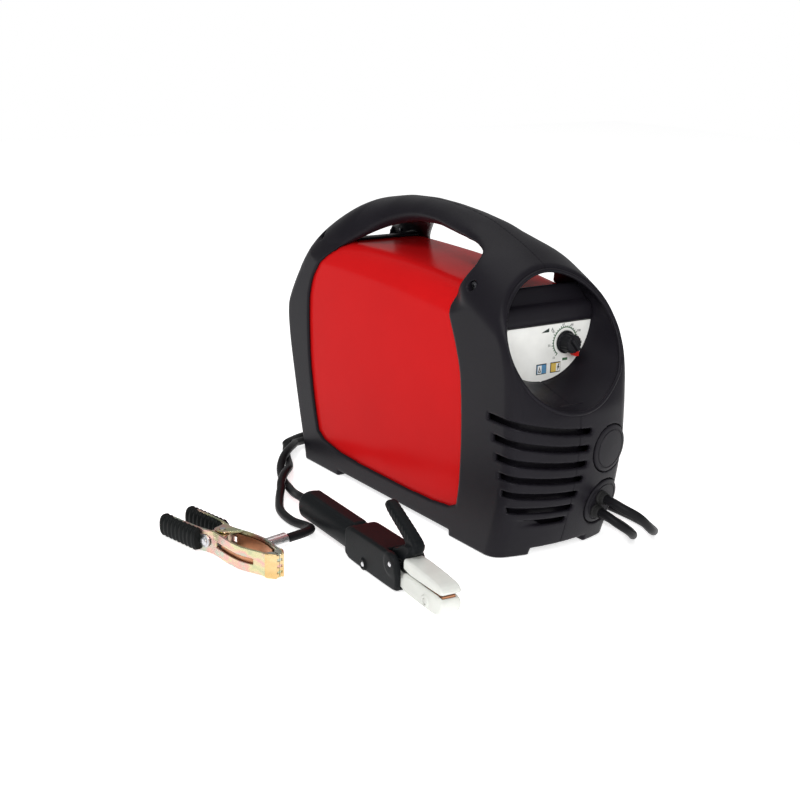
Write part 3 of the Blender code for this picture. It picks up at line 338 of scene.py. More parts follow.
FINISH = {
    "black_moulding": moulded("black_moulding", (0.0095, 0.0085, 0.0115), 0.36, 1500.0, 0.22),
    "insert_moulding": moulded("insert_moulding", (0.012, 0.011, 0.014), 0.42, 1300.0, 0.3),
    "red_paint": finish_of("red_paint", "paint", pair((0.56, 0.008, 0.009), 0.03),
                           {"Peel": 230.0, "Roughness": 0.2}, 0.015, 0.0),
    "dark_screw": metal("dark_screw", pair((0.05, 0.05, 0.055)), 0.35),
    "zinc_sheet": metal("zinc_sheet", pair((0.55, 0.56, 0.58)), 0.35),
    "white_plate": moulded("white_plate", (0.83, 0.83, 0.80), 0.36, 1800.0, 0.05),
    "lamp_blue": moulded("lamp_blue", (0.10, 0.26, 0.45), 0.2, 1200.0, 0.03, 0.5),
    "lamp_amber": moulded("lamp_amber", (0.72, 0.50, 0.12), 0.2, 1200.0, 0.03, 0.5),
    "knob_black": moulded("knob_black", (0.010, 0.010, 0.012), 0.34, 1500.0, 0.15),
    "pot_metal": metal("pot_metal", pair((0.6, 0.6, 0.58)), 0.4),
    "bush_rubber": moulded("bush_rubber", (0.02, 0.02, 0.02), 0.6),
    "black_sheet": moulded("black_sheet", (0.03, 0.03, 0.033), 0.5, 2200.0, 0.3),
    "switch_black": moulded("switch_black", (0.015, 0.015, 0.016), 0.25, 1500.0, 0.05, 0.3),
    "rocker_red": moulded("rocker_red", (0.5, 0.018, 0.015), 0.22, 1500.0, 0.03, 0.5),
    "nylon_black": moulded("nylon_black", (0.024, 0.024, 0.026), 0.42),
    "fan_black": moulded("fan_black", (0.022, 0.022, 0.024), 0.4),
    "board_green": moulded("board_green", (0.02, 0.2, 0.08), 0.35, 900.0, 0.1, 0.4),
    "heatsink_alloy": metal("heatsink_alloy", pair((0.7, 0.7, 0.72)), 0.32),
    "ferrite": moulded("ferrite", (0.06, 0.06, 0.065), 0.55),
    "copper_winding": metal("copper_winding", pair((0.65, 0.3, 0.12)), 0.3, 600.0, 0.5),
    "capacitor_sleeve": moulded("capacitor_sleeve", (0.03, 0.05, 0.16), 0.3, 1500.0, 0.03, 0.5),
    "lead_rubber": moulded("lead_rubber", (0.007, 0.007, 0.008), 0.42, 900.0, 0.2),
    "holder_black": moulded("holder_black", (0.005, 0.006, 0.007), 0.5, 1300.0, 0.2),
    "pin_steel": metal("pin_steel", pair((0.6, 0.6, 0.62)), 0.25),
    "spring_steel": metal("spring_steel", pair((0.5, 0.5, 0.52)), 0.3),
    "jaw_white": moulded("jaw_white", (0.68, 0.69, 0.65), 0.42, 900.0, 0.25),
    "jaw_copper": metal("jaw_copper", pair((0.50, 0.24, 0.13), 0.3), 0.38, 500.0, 0.3),
    "yellow_zinc": metal("yellow_zinc", ((0.28, (0.34, 0.40, 0.27)), (0.42, (0.58, 0.55, 0.32)),
                                         (0.52, (0.66, 0.38, 0.34)), (0.62, (0.42, 0.50, 0.40)),
                                         (0.72, (0.58, 0.57, 0.52))), 0.26, 700.0, 0.15),
    "grip_rubber": moulded("grip_rubber", (0.006, 0.007, 0.007), 0.5, 1000.0, 0.3),
    "lug_tin": metal("lug_tin", pair((0.7, 0.7, 0.7)), 0.28),
}
for piece in frame["record"]["subparts"]:
    node = NODES[piece["node"]]
    node.data.materials.clear()
    node.data.materials.append(FINISH[piece["material_slot"]])
print("finishes:", len(FINISH))

# %% [markdown]
# ## Two ways of making a skin
# A moulding is all soft blends, so it is written as a field: a number at every point of a fine grid, negative
# inside. Rounded joins are then one line of arithmetic, and the zero surface is drawn through the grid. Sheet
# and turned parts have plain sections, so they are swept or lofted instead.


# %% Field tools
def contour(name, low, high, cell, field, slot, node_names=(), body=ROOT, turn=None, part=None):
    """The zero surface of a field over a box, in millimetres, as one smooth-shaded mesh.

    A parting field cuts it without bending the shading at the cut, and a turn matrix lays it in place.
    """
    axes = [np.arange(low[k], high[k] + cell, cell, dtype=np.float32) for k in range(3)]
    shape = tuple(len(a) for a in axes)
    grid = (axes[0][:, None, None], axes[1][None, :, None], axes[2][None, None, :])
    whole = np.array(np.broadcast_to(field(*grid), shape), dtype=np.float32)
    values = whole.copy() if part is None else np.maximum(whole, part(*grid)).astype(np.float32)
    for k in range(3):
        edge = [slice(None)] * 3
        for end in (0, -1):
            edge[k] = end
            values[tuple(edge)] = np.maximum(values[tuple(edge)], 0.4 * cell)
    inside = values < 0
    corners = [(i, j, k) for i in (0, 1) for j in (0, 1) for k in (0, 1)]
    count = np.zeros(tuple(n - 1 for n in shape), dtype=np.int8)
    for i, j, k in corners:
        count += inside[i:shape[0] - 1 + i, j:shape[1] - 1 + j, k:shape[2] - 1 + k]
    cells = np.argwhere((count > 0) & (count < 8))
    at = {c: values[cells[:, 0] + c[0], cells[:, 1] + c[1], cells[:, 2] + c[2]] for c in corners}
    total = np.zeros((len(cells), 3))
    hits = np.zeros(len(cells))
    for a in corners:
        for k in range(3):
            if a[k]:
                continue
            b = tuple(a[n] + (n == k) for n in range(3))
            crossed = (at[a] < 0) != (at[b] < 0)
            share = at[a] / np.where(crossed, at[a] - at[b], 1.0)
            point = np.tile(np.array(a, float), (len(cells), 1))
            point[:, k] = share
            total += np.where(crossed[:, None], point, 0.0)
            hits += crossed
    points = np.array(low) + (cells + total / hits[:, None]) * cell
    index = np.full(count.shape, -1, dtype=np.int32)
    index[cells[:, 0], cells[:, 1], cells[:, 2]] = np.arange(len(cells))
    quads = []
    for k in range(3):
        before = [slice(None)] * 3
        after = [slice(None)] * 3
        before[k] = slice(0, -1)
        after[k] = slice(1, None)
        edges = np.argwhere(inside[tuple(before)] != inside[tuple(after)])
        u, v = (k + 1) % 3, (k + 2) % 3
        ring = []
        for du, dv in ((0, 0), (-1, 0), (-1, -1), (0, -1)):
            near = edges.copy()
            near[:, u] += du
            near[:, v] += dv
            ring.append(index[near[:, 0], near[:, 1], near[:, 2]])
        ring = np.stack(ring, axis=1)
        outward = inside[edges[:, 0], edges[:, 1], edges[:, 2]]
        ring[~outward] = ring[~outward][:, ::-1]
        quads.append(ring)
    normals = field_normals(whole, low, cell, points)
    if turn is not None:
        spin = np.array(turn.to_3x3())
        points = points @ spin.T + np.array(turn.translation) / MM
        normals = normals @ spin.T
    made = mesh_from(name, points, np.concatenate(quads))
    made.data.normals_split_custom_set_from_vertices(normals)
    return dress(made, slot, node_names, body)


def field_normals(values, low, cell, points):
    """Unit directions in which the field rises, read between the grid points."""
    def read(where):
        where = np.clip(where, 0, np.array(values.shape) - 1.001)
        base = where.astype(int)
        part = where - base
        found = 0.0
        for i in (0, 1):
            for j in (0, 1):
                for k in (0, 1):
                    weight = (np.abs(1 - i - part[:, 0]) * np.abs(1 - j - part[:, 1])
                              * np.abs(1 - k - part[:, 2]))
                    found = found + weight * values[base[:, 0] + i, base[:, 1] + j, base[:, 2] + k]
        return found

    where = (points - np.array(low)) / cell
    slope = np.stack([read(where + step) - read(where - step) for step in np.eye(3) * 0.8], axis=1)
    return slope / np.maximum(np.linalg.norm(slope, axis=1, keepdims=True), 1e-9)


def mesh_from(name, points, faces):
    """A mesh object from millimetre points and equal-sided faces, smooth shaded."""
    points = np.asarray(points, dtype=np.float64) * MM
    faces = np.asarray(faces, dtype=np.int32)
    mesh = bpy.data.meshes.new(name)
    mesh.vertices.add(len(points))
    mesh.vertices.foreach_set("co", points.astype(np.float32).ravel())
    mesh.loops.add(faces.size)
    mesh.loops.foreach_set("vertex_index", faces.ravel())
    mesh.polygons.add(len(faces))
    mesh.polygons.foreach_set("loop_start", np.arange(len(faces), dtype=np.int32) * faces.shape[1])
    mesh.update(calc_edges=True)
    mesh.validate()
    mesh.shade_smooth()
    made = bpy.data.objects.new(name, mesh)
    bpy.context.scene.collection.objects.link(made)
    return made


def dress(made, slot, node_names=(), body=ROOT, turn=None):
    """Gives a piece its finish, the body it rides on and the CAD nodes it stands for."""
    if turn is not None:
        made.data.transform(turn)
    made.data.materials.clear()
    made.data.materials.append(FINISH[slot])
    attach(made, body)
    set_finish(made, slot)
    if node_names:
        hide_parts(*node_names)
    return made


def eased(points, blur, step=1.0):
    """A table of (station, value) pairs as a function, its corners rounded over about blur millimetres."""
    reach = int(3 * blur / step)
    low, high = points[0][0] - reach * step, points[-1][0] + reach * step
    stations = np.arange(low, high + step, step)
    values = np.interp(stations, [p[0] for p in points], [p[1] for p in points])
    kernel = np.exp(-0.5 * (np.arange(-reach, reach + 1) * step / blur) ** 2)
    values = np.convolve(np.pad(values, reach, mode="edge"), kernel / kernel.sum(), mode="valid")
    return lambda at: np.interp(at, stations, values).astype(np.float32)


def round_max(a, b, radius):
    """Common part of two fields, its edge rounded to a radius."""
    return (np.minimum(-radius, np.maximum(a, b))
            + np.hypot(np.maximum(radius + a, 0), np.maximum(radius + b, 0)))


def round_min(a, b, radius):
    """Union of two fields, with a fillet between them."""
    return -round_max(-a, -b, radius)


def drawn(points, rounds=2):
    """Closed outline with its corners cut back evenly, so that it reads as a smooth curve."""
    line = np.array(points, dtype=float)
    for _ in range(rounds):
        after = np.roll(line, -1, axis=0)
        line = np.stack([0.8 * line + 0.2 * after, 0.2 * line + 0.8 * after], axis=1).reshape(-1, 2)
    return line


def outline_field(points, u, v):
    """Signed distance to a closed outline in the u, v plane, negative inside."""
    a = np.array(points, dtype=np.float32)
    b = np.roll(a, -1, axis=0)
    best = np.float32(1e12)
    crossings = 0
    for (au, av), (bu, bv) in zip(a, b):
        du, dv = bu - au, bv - av
        share = np.clip(((u - au) * du + (v - av) * dv) / max(du * du + dv * dv, 1e-9), 0, 1)
        best = np.minimum(best, (u - au - share * du) ** 2 + (v - av - share * dv) ** 2)
        if abs(dv) > 1e-9:
            spans = (av > v) != (bv > v)
            crossings = crossings + (spans & (u < au + (v - av) * du / dv))
    return np.where(crossings % 2 == 1, -1, 1) * np.sqrt(best)


def box_field(u, v, low_u, high_u, low_v, high_v):
    """Rectangle in a plane, negative inside."""
    return np.maximum(np.abs(u - (low_u + high_u) / 2) - (high_u - low_u) / 2,
                      np.abs(v - (low_v + high_v) / 2) - (high_v - low_v) / 2)


def true_scale(values, cell):
    """A field divided by its own slope, so that it counts in millimetres near its zero surface."""
    slopes = np.gradient(values, cell)
    return values / np.maximum(np.sqrt(sum(s * s for s in slopes)), 1e-3)


# %% [markdown]
# ## The carrying frame
# The real frame is two half shells of black plastic, screwed together on the middle plane. Its form is one arch
# that narrows to the hand grip and widens into a dome over the nose. The dome section is an ellipse whose half
# width, crown and drop change along the machine; the openings are cut from it with rounded edges.

# %% Frame sizes
HALF_WIDTH = 60.0
RIDGE = eased(((-200, 190), (-150, 213), (-125, 226.5), (-103, 237), (-93, 241), (-70, 249), (-54, 254),
               (-27, 258.5), (0, 261), (30, 262), (65, 260), (99, 254), (112, 249.5), (126, 242),
               (140, 233), (152, 222), (164, 206), (180, 180), (200, 150)), 4.0)
ARCH = eased(((-200, 60), (-97, 60), (-90, 58.5), (-83, 54), (-69, 46), (-48, 35), (-25, 26), (-3, 20.5),
              (24, 20), (40, 22), (52, 25), (70, 33), (91, 43), (102, 50), (125, 56), (145, 60),
              (200, 60)), 5.0)
FRONT_SIDE = eased(((0, -147), (8, -150.6), (27, -156), (47, -161), (72, -165), (96, -166.6), (120, -166),
                    (142, -165), (158, -162.5), (173, -157), (189, -147), (205, -134), (222, -125.5),
                    (240, -116), (280, -96)), 5.0)
FRONT_BULGE = eased(((0, 10), (110, 10), (120, 10), (131, 5), (142, 0.5), (158, -5), (173, -6.5),
                     (189, -5), (205, 0), (280, 0)), 3.0)
REAR_EDGE = ((146, -30), (146, 2), (157, 37), (167, 73), (177, 112), (180.5, 135), (180, 150), (176, 166),
             (168, 186), (152, 212), (134, 233), (120, 246), (120, 300), (-300, 300), (-300, -30))
SIDE_OPENING = ((118, 23), (-95, 23), (-99, 48), (-100, 84), (-98, 119), (-95, 144), (-86, 168),
                (-79, 182), (-76, 193), (-80, 205), (-89, 217), (-91.5, 226), (-86, 234), (-69, 238),
                (-48, 240), (-25, 242), (-3, 243), (24, 242.5), (40, 240.5), (52, 237.5), (70, 230.5),
                (91, 219), (102, 210.5), (113, 202), (124, 193), (134, 179), (140, 162), (140.5, 140),
                (138, 100), (130, 61))
REAR_WINDOW = ((-39, 260), (-36, 160), (-31, 138), (-26, 124), (-18, 113), (-9, 106), (0, 104), (9, 106),
               (18, 113), (26, 124), (31, 138), (36, 160), (39, 260))
DECK = ((97, 216.2), (99, 218.4), (108, 218.6), (130, 212.5), (152, 204), (163, 195), (167, 184.5),
        (170, 170), (148, 170), (136, 183.3), (104.6, 183.3), (104.6, 216.2))
COVER_TOP = eased(((-140, 198.5), (-110, 202.5), (-90, 205), (-60, 209), (-20, 212), (20, 214), (60, 215),
                   (104, 215.5), (180, 215.5)), 6.0)
COVER_SIDE = ((-105, 17), (-105, 196), (-97, 215), (-92, 230), (98, 230), (104, 214), (118, 202),
              (134, 182), (146, 160), (146, 120), (124, 17))
EYE_Y, EYE_Z = -151.0, 171.0
EYE_RADIUS, EYE_RISE = 55.8, 57.5
EYE_LEAN = math.radians(26.5)
PLATE_Y, PLATE_Z, PLATE_RADIUS, PLATE_TOP = -125.2, 183.5, 49.5, 179.2
VENTS = ((10.7, 103.2, 119.2, -134), (9.5, 89.3, 103.5, -141), (8.7, 76.1, 88.0, -145),
         (6.7, 63.6, 73.7, -150), (3.4, 51.2, 59.9, -153), (0.7, 39.6, 46.0, -157),
         (-3.9, 29.4, 34.5, -161))
BLANK_AT = (36.7, 84.0)
OUTLET_AT = (37.9, 36.5)
INSERT_RADIUS = 19.75
SCREWS = ((132.0, 217.0, 47.2), (-101.0, 212.0, 54.0))


# %% [markdown]
# ## The frame as a field
# Each half is moulded in one piece: nose, handle and feet flow into each other with no edge between. The
# field starts as a domed bar, and the front, rear, eye, hand space and works are taken from it in turn, each
# with its own edge rounding. Both halves come from the one field, so they meet exactly at the parting line.

# %% Frame field
def front_face(x, z):
    """Front of the nose at each x, z: crowned across, with rounded corners."""
    side = np.abs(x)
    across = np.minimum(side, 58.0) / 58.0
    corner = np.clip(side - 49.0, 0.0, 10.9) / 11.0
    return FRONT_SIDE(z) - FRONT_BULGE(z) * (1 - across ** 2) + 9.0 * (1 - np.sqrt(1 - corner ** 2))


def eye_plane(z):
    return EYE_Y + (z - EYE_Z) * math.tan(EYE_LEAN)


def eye_field(x, y, z):
    """Bore of the eye: it narrows from the leaning rim to the upright control plate."""
    start = eye_plane(z)
    share = np.clip((y - start) / np.maximum(-125.2 - start, 14.0), -0.3, 1.0)
    wide = EYE_RADIUS - 6.3 * share
    tall = EYE_RISE * math.cos(EYE_LEAN) - 2.0 * share
    away = np.hypot(x / wide, (z - EYE_Z - 12.5 * share) / tall)
    return (away - 1.0) * 50.0


def tunnel_field(x, y, z):
    """Way through the hood, over the lintel, to the hand space."""
    share = np.clip((y + 128.0) / 48.0, 0, 1)
    ring = np.hypot(x, z - 182.5 - 9.5 * share) - 49.2 + 7.2 * share ** 1.6
    return np.maximum(ring, np.maximum(-128.0 - y, y + 76.0))


def vent_field(x, y, z, sizes):
    """One curved louvre slot, rising round the near corner of the nose."""
    right_x, right_z, side_z, back_y = sizes
    share = np.maximum(right_x - x, 0) / (right_x + 70.0)
    middle = right_z + (side_z - right_z) * (0.35 * share + 0.65 * share ** 2)
    slot = np.hypot(np.maximum(x - right_x, 0), z - middle) - 2.5
    return np.maximum(slot, y - back_y)


def frame_field(x, y, z, cell):
    arch = ARCH(y)
    top = RIDGE(y)
    drop = 13.0 + 27.0 * np.clip((arch - 20.0) / 25.0, 0, 1)
    eave = top - drop
    rise = np.clip((z - np.minimum(175, eave - 8)) / (np.minimum(201, eave - 1) - np.minimum(175,
                                                                                             eave - 8)), 0, 1)
    half = HALF_WIDTH + (arch - HALF_WIDTH) * rise * rise * (3 - 2 * rise)
    crest = COVER_TOP(y)
    folded = 33.0 + np.sqrt(np.maximum(576.0 - np.clip(z - crest + 24.0, 0, 24) ** 2, 0))
    folded = folded - 4.0 * np.maximum(z - crest, 0) - 3.0 * np.maximum(np.abs(y - 20.0) - 128.0, 0)
    excess = np.clip(0.5 + 0.5 * (half - folded - 2.6) / 7.0, 0, 1)
    half = folded + 2.6 + (half - folded - 2.6) * excess + 7.0 * excess * (1 - excess)
    half = np.minimum(half, HALF_WIDTH)
    dome = np.hypot(x / half, np.maximum(z - eave, 0) / drop) - 1.0
    outer = true_scale(np.array(dome, dtype=np.float32) * 20.0, cell)
    outer = np.clip(outer, -60, 60)
    front = (front_face(x, z) - y) * 0.93
    rear = outline_field(drawn(REAR_EDGE, 2), y, z)
    edge = 4.0 - 2.9 * np.clip((z - 186.0) / 16.0, 0, 1)
    body = round_max(outer, front, edge)
    body = round_max(body, rear, 4.5)
    body = round_max(body, -z, 1.5)
    wall = np.maximum(eye_field(x, y, z), outer + 3.6)
    body = round_max(body, -wall, 0.9)
    body = round_max(body, -np.maximum(np.maximum(tunnel_field(x, y, z), outer + 3.6), front + 5.0), 1.5)
    room = np.maximum(np.maximum(np.abs(x) - 55.6, z - 180.5), np.maximum(8.0 - z, y + 105.0))
    room = np.maximum(room, front_face(x, z) + 4.6 - y)
    room = np.maximum(room, 3.0 - eye_field(x, y, z))
    body = np.maximum(body, -room)
    width = 57.3 - 24.0
    inner = np.hypot(np.maximum(np.abs(x) - width, 0), np.maximum(z - COVER_TOP(y) + 23.7, 0)) - 24.0
    works = np.maximum(inner, np.maximum(np.abs(y + 0.5) - 104.8, 8.0 - z))
    body = np.maximum(body, -works)
    behind = np.maximum(np.maximum(99 - y, 8.0 - z), np.maximum(np.abs(x) - 57.3, z - 183.0))
    body = np.maximum(body, -np.maximum(behind, rear + 5.0))
    pocket_side = outline_field(((60, 15), (141.2, 15), (173.4, 142.2), (60, 142.2)), y, z)
    body = np.maximum(body, -np.maximum(np.abs(x) - 51.0, pocket_side))
    low_window = np.maximum(np.maximum(np.abs(x) - 45.0, 120.0 - y), np.maximum(24.0 - z, z - 133.0))
    body = round_max(body, -low_window, 2.0)
    side = outline_field(drawn(SIDE_OPENING, 2), y, z)
    soft = 2.6 + 6.4 * np.clip((z - 218.0) / 14.0, 0, 1) * np.clip((95.0 - np.abs(y - 5.0)) / 40.0, 0, 1)
    body = round_max(body, -side, soft)
    gap = np.maximum(outline_field(drawn(REAR_WINDOW, 2), x, y), 184.0 - z)
    body = round_max(body, -gap, 4.0)
    deck = round_max(outline_field(drawn(DECK, 1), y, z), np.abs(x) - 52.0, 1.0)
    deck = np.maximum(deck, outer + 1.0)
    body = np.minimum(body, deck)
    sheet = np.maximum(inner - 0.0, -(inner + 2.0))
    sheet = np.maximum(sheet, outline_field(COVER_SIDE, y, z) - 0.8)
    body = np.maximum(body, -np.maximum(sheet, 10.0 - z))
    return ground_gaps(body, x, y, z)


def ground_gaps(body, x, y, z):
    """Clears between the feet, inserts, screws and the louvre slots."""
    body = round_max(body, -np.maximum(box_field(y, z, -88, 85, -20, 5), np.abs(x) - 90), 1.5)
    body = round_max(body, -np.maximum(box_field(x, z, -28.4, 28.4, -20, 6.0), y + 100), 1.5)
    body = round_max(body, -np.maximum(box_field(x, z, -28.4, 28.4, -20, 6.0), 100 - y), 1.5)
    body = np.maximum(body, -np.maximum(box_field(x, y, -44, 44, -100, 120), z - 12.0))
    for sizes in VENTS:
        body = round_max(body, -vent_field(x, y, z, sizes), 1.3)
    for at_x, at_z in (BLANK_AT, OUTLET_AT):
        hole = np.hypot(x - at_x, z - at_z) - INSERT_RADIUS - 0.4
        hole = np.maximum(hole, y - front_face(x, z) - 11.0)
        body = round_max(body, -hole, 0.9)
    for at_y, at_z, at_x in SCREWS:
        bore = np.hypot(y - at_y, z - at_z) - 4.0
        body = round_max(body, -np.maximum(bore, at_x - 5.0 - np.abs(x)), 0.8)
    return body


def frame_half(name, sign, node):
    """One half shell, parted just off the middle plane."""
    cell = 1.28
    low = (-62.0, -184.0, -3.0) if sign < 0 else (-2.0, -184.0, -3.0)
    high = (2.0, 184.0, 265.0) if sign < 0 else (62.0, 184.0, 265.0)

    def field(x, y, z):
        return frame_field(x, y, z, cell)

    def part(x, y, z):
        return 0.05 - sign * x

    return contour(name, low, high, cell, field, "black_moulding", (node,), part=part)


left_half = frame_half("frame_skin_left", -1, "frame_half_left")
right_half = frame_half("frame_skin_right", 1, "frame_half_right")


def louvre_liner():
    """Black sheet a little behind the louvres as painted shade, so that they show shadow and not the works."""
    rings = []
    for z in range(22, 128, 6):
        xs = [14.0, 4.0, -8.0, -20.0, -32.0, -42.0, -48.0]
        line = [(x, float(front_face(np.array([x]), np.array([z]))[0]) + 9.0, float(z)) for x in xs]
        line += [(-51.5, line[-1][1] + 4.0, float(z)), (-52.5, line[-1][1] + 9.0, float(z)), (-52.5, -125.0,
                                                                                              float(z))]
        back = [(x + (0.8 if i > 7 else 0.0), y + 0.8, z) for i, (x, y, z) in enumerate(line)]
        rings.append(line + back[::-1])
    return dress(loft("louvre_liner", rings), "black_moulding")


print("frame skins:", [len(o.data.polygons) for o in (left_half, right_half)])

# %% [markdown]
# ## The red cover
# One sheet of steel is folded over the works with a bend of 24 mm along each shoulder, and its edges slide into
# a slot that runs round the frame. It is lofted from that folded section, then trimmed to the outline of the
# slot, and it stays thinner than 2 mm like the real sheet.


# %% Sheet cover
def loft(name, rings, closed=False):
    """Mesh through open or closed rings of points, joined end to end along the sweep."""
    rings = np.asarray(rings, dtype=float)
    rows, count = rings.shape[:2]
    faces = []
    for i in range(rows - (0 if closed else 1)):
        k = (i + 1) % rows
        for j in range(count):
            n = (j + 1) % count
            faces.append((i * count + j, i * count + n, k * count + n, k * count + j))
    made = mesh_from(name, rings.reshape(-1, 3), faces)
    if not closed:
        close_ends(made, count, rows)
    return made


def close_ends(made, count, rows):
    """Fans the first and last rings of a loft shut."""
    grid = bmesh.new()
    grid.from_mesh(made.data)
    grid.verts.ensure_lookup_table()
    grid.faces.new([grid.verts[i] for i in reversed(range(count))])
    grid.faces.new([grid.verts[(rows - 1) * count + i] for i in range(count)])
    bmesh.ops.recalc_face_normals(grid, faces=grid.faces)
    grid.to_mesh(made.data)
    grid.free()


def crease(made, degrees=35):
    """Smooth shading that breaks at real edges."""
    made.data.shade_smooth()
    made.data.set_sharp_from_angle(angle=math.radians(degrees))
    return made


def boolean(made, other, operation="DIFFERENCE"):
    tool = made.modifiers.new("cut", "BOOLEAN")
    tool.operation = operation
    tool.object = other
    bpy.context.view_layer.update()
    mesh = bpy.data.meshes.new_from_object(made.evaluated_get(bpy.context.evaluated_depsgraph_get()))
    made.modifiers.clear()
    made.data = mesh
    bpy.data.objects.remove(other, do_unlink=True)
    return made


def cover_ring(y, inset):
    """Half of the folded section, from the left edge over the top to the right edge."""
    half = 57.0 - inset
    bend = 24.0 - inset
    top = float(COVER_TOP(np.array([y]))[0]) - inset
    right = [(half - bend + bend * math.cos(math.radians(a)), y,
              top - bend + bend * math.sin(math.radians(a)))
             for a in range(0, 91, 6)]
    return [(half, y, 10.0)] + right + [(-x, y, z) for x, _, z in reversed(right)] + [(-half, y, 10.0)]


def make_cover():
    stations = [-112 + 6.0 * i for i in range(45)]
    rings = [cover_ring(y, 0.0) + cover_ring(y, 1.2)[::-1] for y in stations]
    sheet = loft("cover_sheet", rings)
    outline = COVER_SIDE
    trim = loft("trim", [[(x, y, z) for y, z in outline] for x in (-80.0, 80.0)])
    boolean(sheet, trim, "INTERSECT")
    return dress(crease(sheet, 30), "red_paint", ("cover",))


cover_sheet = make_cover()
print("cover faces:", len(cover_sheet.data.polygons))

# %% [markdown]
# ## The eye
# The opening ends in a thin raised lip that catches the light all the way round. Inside it a black lintel
# bulges over a white, upright plate that carries the control. Above the lintel one looks through the hood.


# %% Eye lip and lintel
def sweep(name, line, radius, count=12, closed=False, widths=None):
    """Round bar along a line of points, with a frame that never twists."""
    line = np.asarray(line, dtype=float)
    ahead = np.roll(line, -1, axis=0)
    behind = np.roll(line, 1, axis=0)
    if not closed:
        ahead[-1] = line[-1]
        behind[0] = line[0]
    run = ahead - behind
    run /= np.linalg.norm(run, axis=1, keepdims=True)
    side = np.cross(run[0], (0.0, 0.0, 1.0))
    if np.linalg.norm(side) < 1e-3:
        side = np.cross(run[0], (1.0, 0.0, 0.0))
    rings = []
    for i, direction in enumerate(run):
        side = side - direction * np.dot(side, direction)
        side /= np.linalg.norm(side)
        up = np.cross(side, direction)
        wide = radius if widths is None else widths[i]
        turns = [2 * math.pi * k / count for k in range(count)]
        rings.append([line[i] + wide * (math.cos(t) * side + math.sin(t) * up) for t in turns])
    return loft(name, rings, closed)


def eye_lip():
    line = []
    for i in range(160):
        turn = 2 * math.pi * i / 160
        rise = EYE_RISE * math.cos(turn)
        z = EYE_Z + rise * math.cos(EYE_LEAN)
        x = EYE_RADIUS * math.sin(turn)
        y = max(EYE_Y + rise * math.sin(EYE_LEAN), float(front_face(np.array([x]), np.array([z]))[0])) + 0.3
        grow = 1.008 + 0.014 * max(math.cos(turn), 0.0) ** 24
        line.append((grow * x, y, EYE_Z + grow * (z - EYE_Z)))
    return dress(sweep("eye_lip", line, 1.7, 12, True), "black_moulding")


def lintel_field(x, y, z):
    profile = ((-114, 208), (-112, 209), (-110.5, 208), (-110.5, 183), (-119, 178), (-121, 178), (-121, 176),
               (-124.0, 176), (-124.0, 179.6), (-126.5, 180.3), (-127.6, 184), (-126.6, 192.5),
               (-123, 195.5), (-119.5, 196.5))
    bar = outline_field(drawn(profile, 2), y, z)
    bar = round_max(bar, np.hypot(x, z - 184.5) - 49.2, 0.8)
    wall = np.maximum(np.hypot(x, z - 171.0) - 50.0, np.maximum(z - 178.0, np.abs(y + 122.6) - 1.4))
    shaft = np.hypot(x - 23.4, z - 163.6) - 3.6
    return np.maximum(np.minimum(bar, wall), -shaft)


eye_lip()
lintel = contour("lintel", (-52, -130, 119), (52, -108, 211), 0.8, lintel_field, "black_moulding",
                 ("fascia",))
print("lintel faces:", len(lintel.data.polygons))

# %% [markdown]
# ## The control plate
# The plate is printed foil: a ring of ticks with plain numbers, a ramp sign for rising current and two small
# lamps with pictures. Each printed mark is a thin shape that lies on the plate. The knob is drawn as a field,
# fluted all round, and it turns with its own body together with the red pointer on its skirt.


# %% Printed marks
def flat_finish(name, colour, roughness=0.4):
    FINISH[name] = moulded(name, colour, roughness, 1800.0, 0.03)
    return FINISH[name]


flat_finish("ink_dark", (0.035, 0.045, 0.04))
flat_finish("ink_green", (0.06, 0.13, 0.07))
flat_finish("ink_white", (0.82, 0.83, 0.82))
flat_finish("pointer_red", (0.62, 0.02, 0.015), 0.3)
MARK_Y = PLATE_Y - 0.06
KNOB_X, KNOB_Z = 23.4, 163.6


def plate_mark(name, points, ink="ink_dark", lift=0.0):
    """Thin printed shape from an (x, z) outline, lying on the plate."""
    rings = [[(x, MARK_Y - lift + depth, z) for x, z in points] for depth in (0.0, 0.1)]
    return dress(crease(loft(name, rings)), ink)


def plate_word(name, word, x, z, size, ink="ink_dark"):
    """A word or number centred at a place on the plate."""
    curve = bpy.data.curves.new(name, "FONT")
    curve.body = word
    curve.size = size * MM
    curve.align_x = "CENTER"
    curve.align_y = "CENTER"
    curve.extrude = 0.00003
    drafted = bpy.data.objects.new(name + "_draft", curve)
    bpy.context.scene.collection.objects.link(drafted)
    bpy.context.view_layer.update()
    mesh = bpy.data.meshes.new_from_object(drafted.evaluated_get(bpy.context.evaluated_depsgraph_get()))
    bpy.data.objects.remove(drafted, do_unlink=True)
    mesh.transform(Matrix.Translation((x * MM, MARK_Y * MM, z * MM)) @ Matrix.Rotation(math.pi / 2, 4, "X"))
    made = bpy.data.objects.new(name, mesh)
    bpy.context.scene.collection.objects.link(made)
    return dress(made, ink)


def on_dial(degrees, radius):
    """Point on the dial, with the angle counted clockwise from the top."""
    turn = math.radians(degrees)
    return KNOB_X + radius * math.sin(turn), KNOB_Z + radius * math.cos(turn)


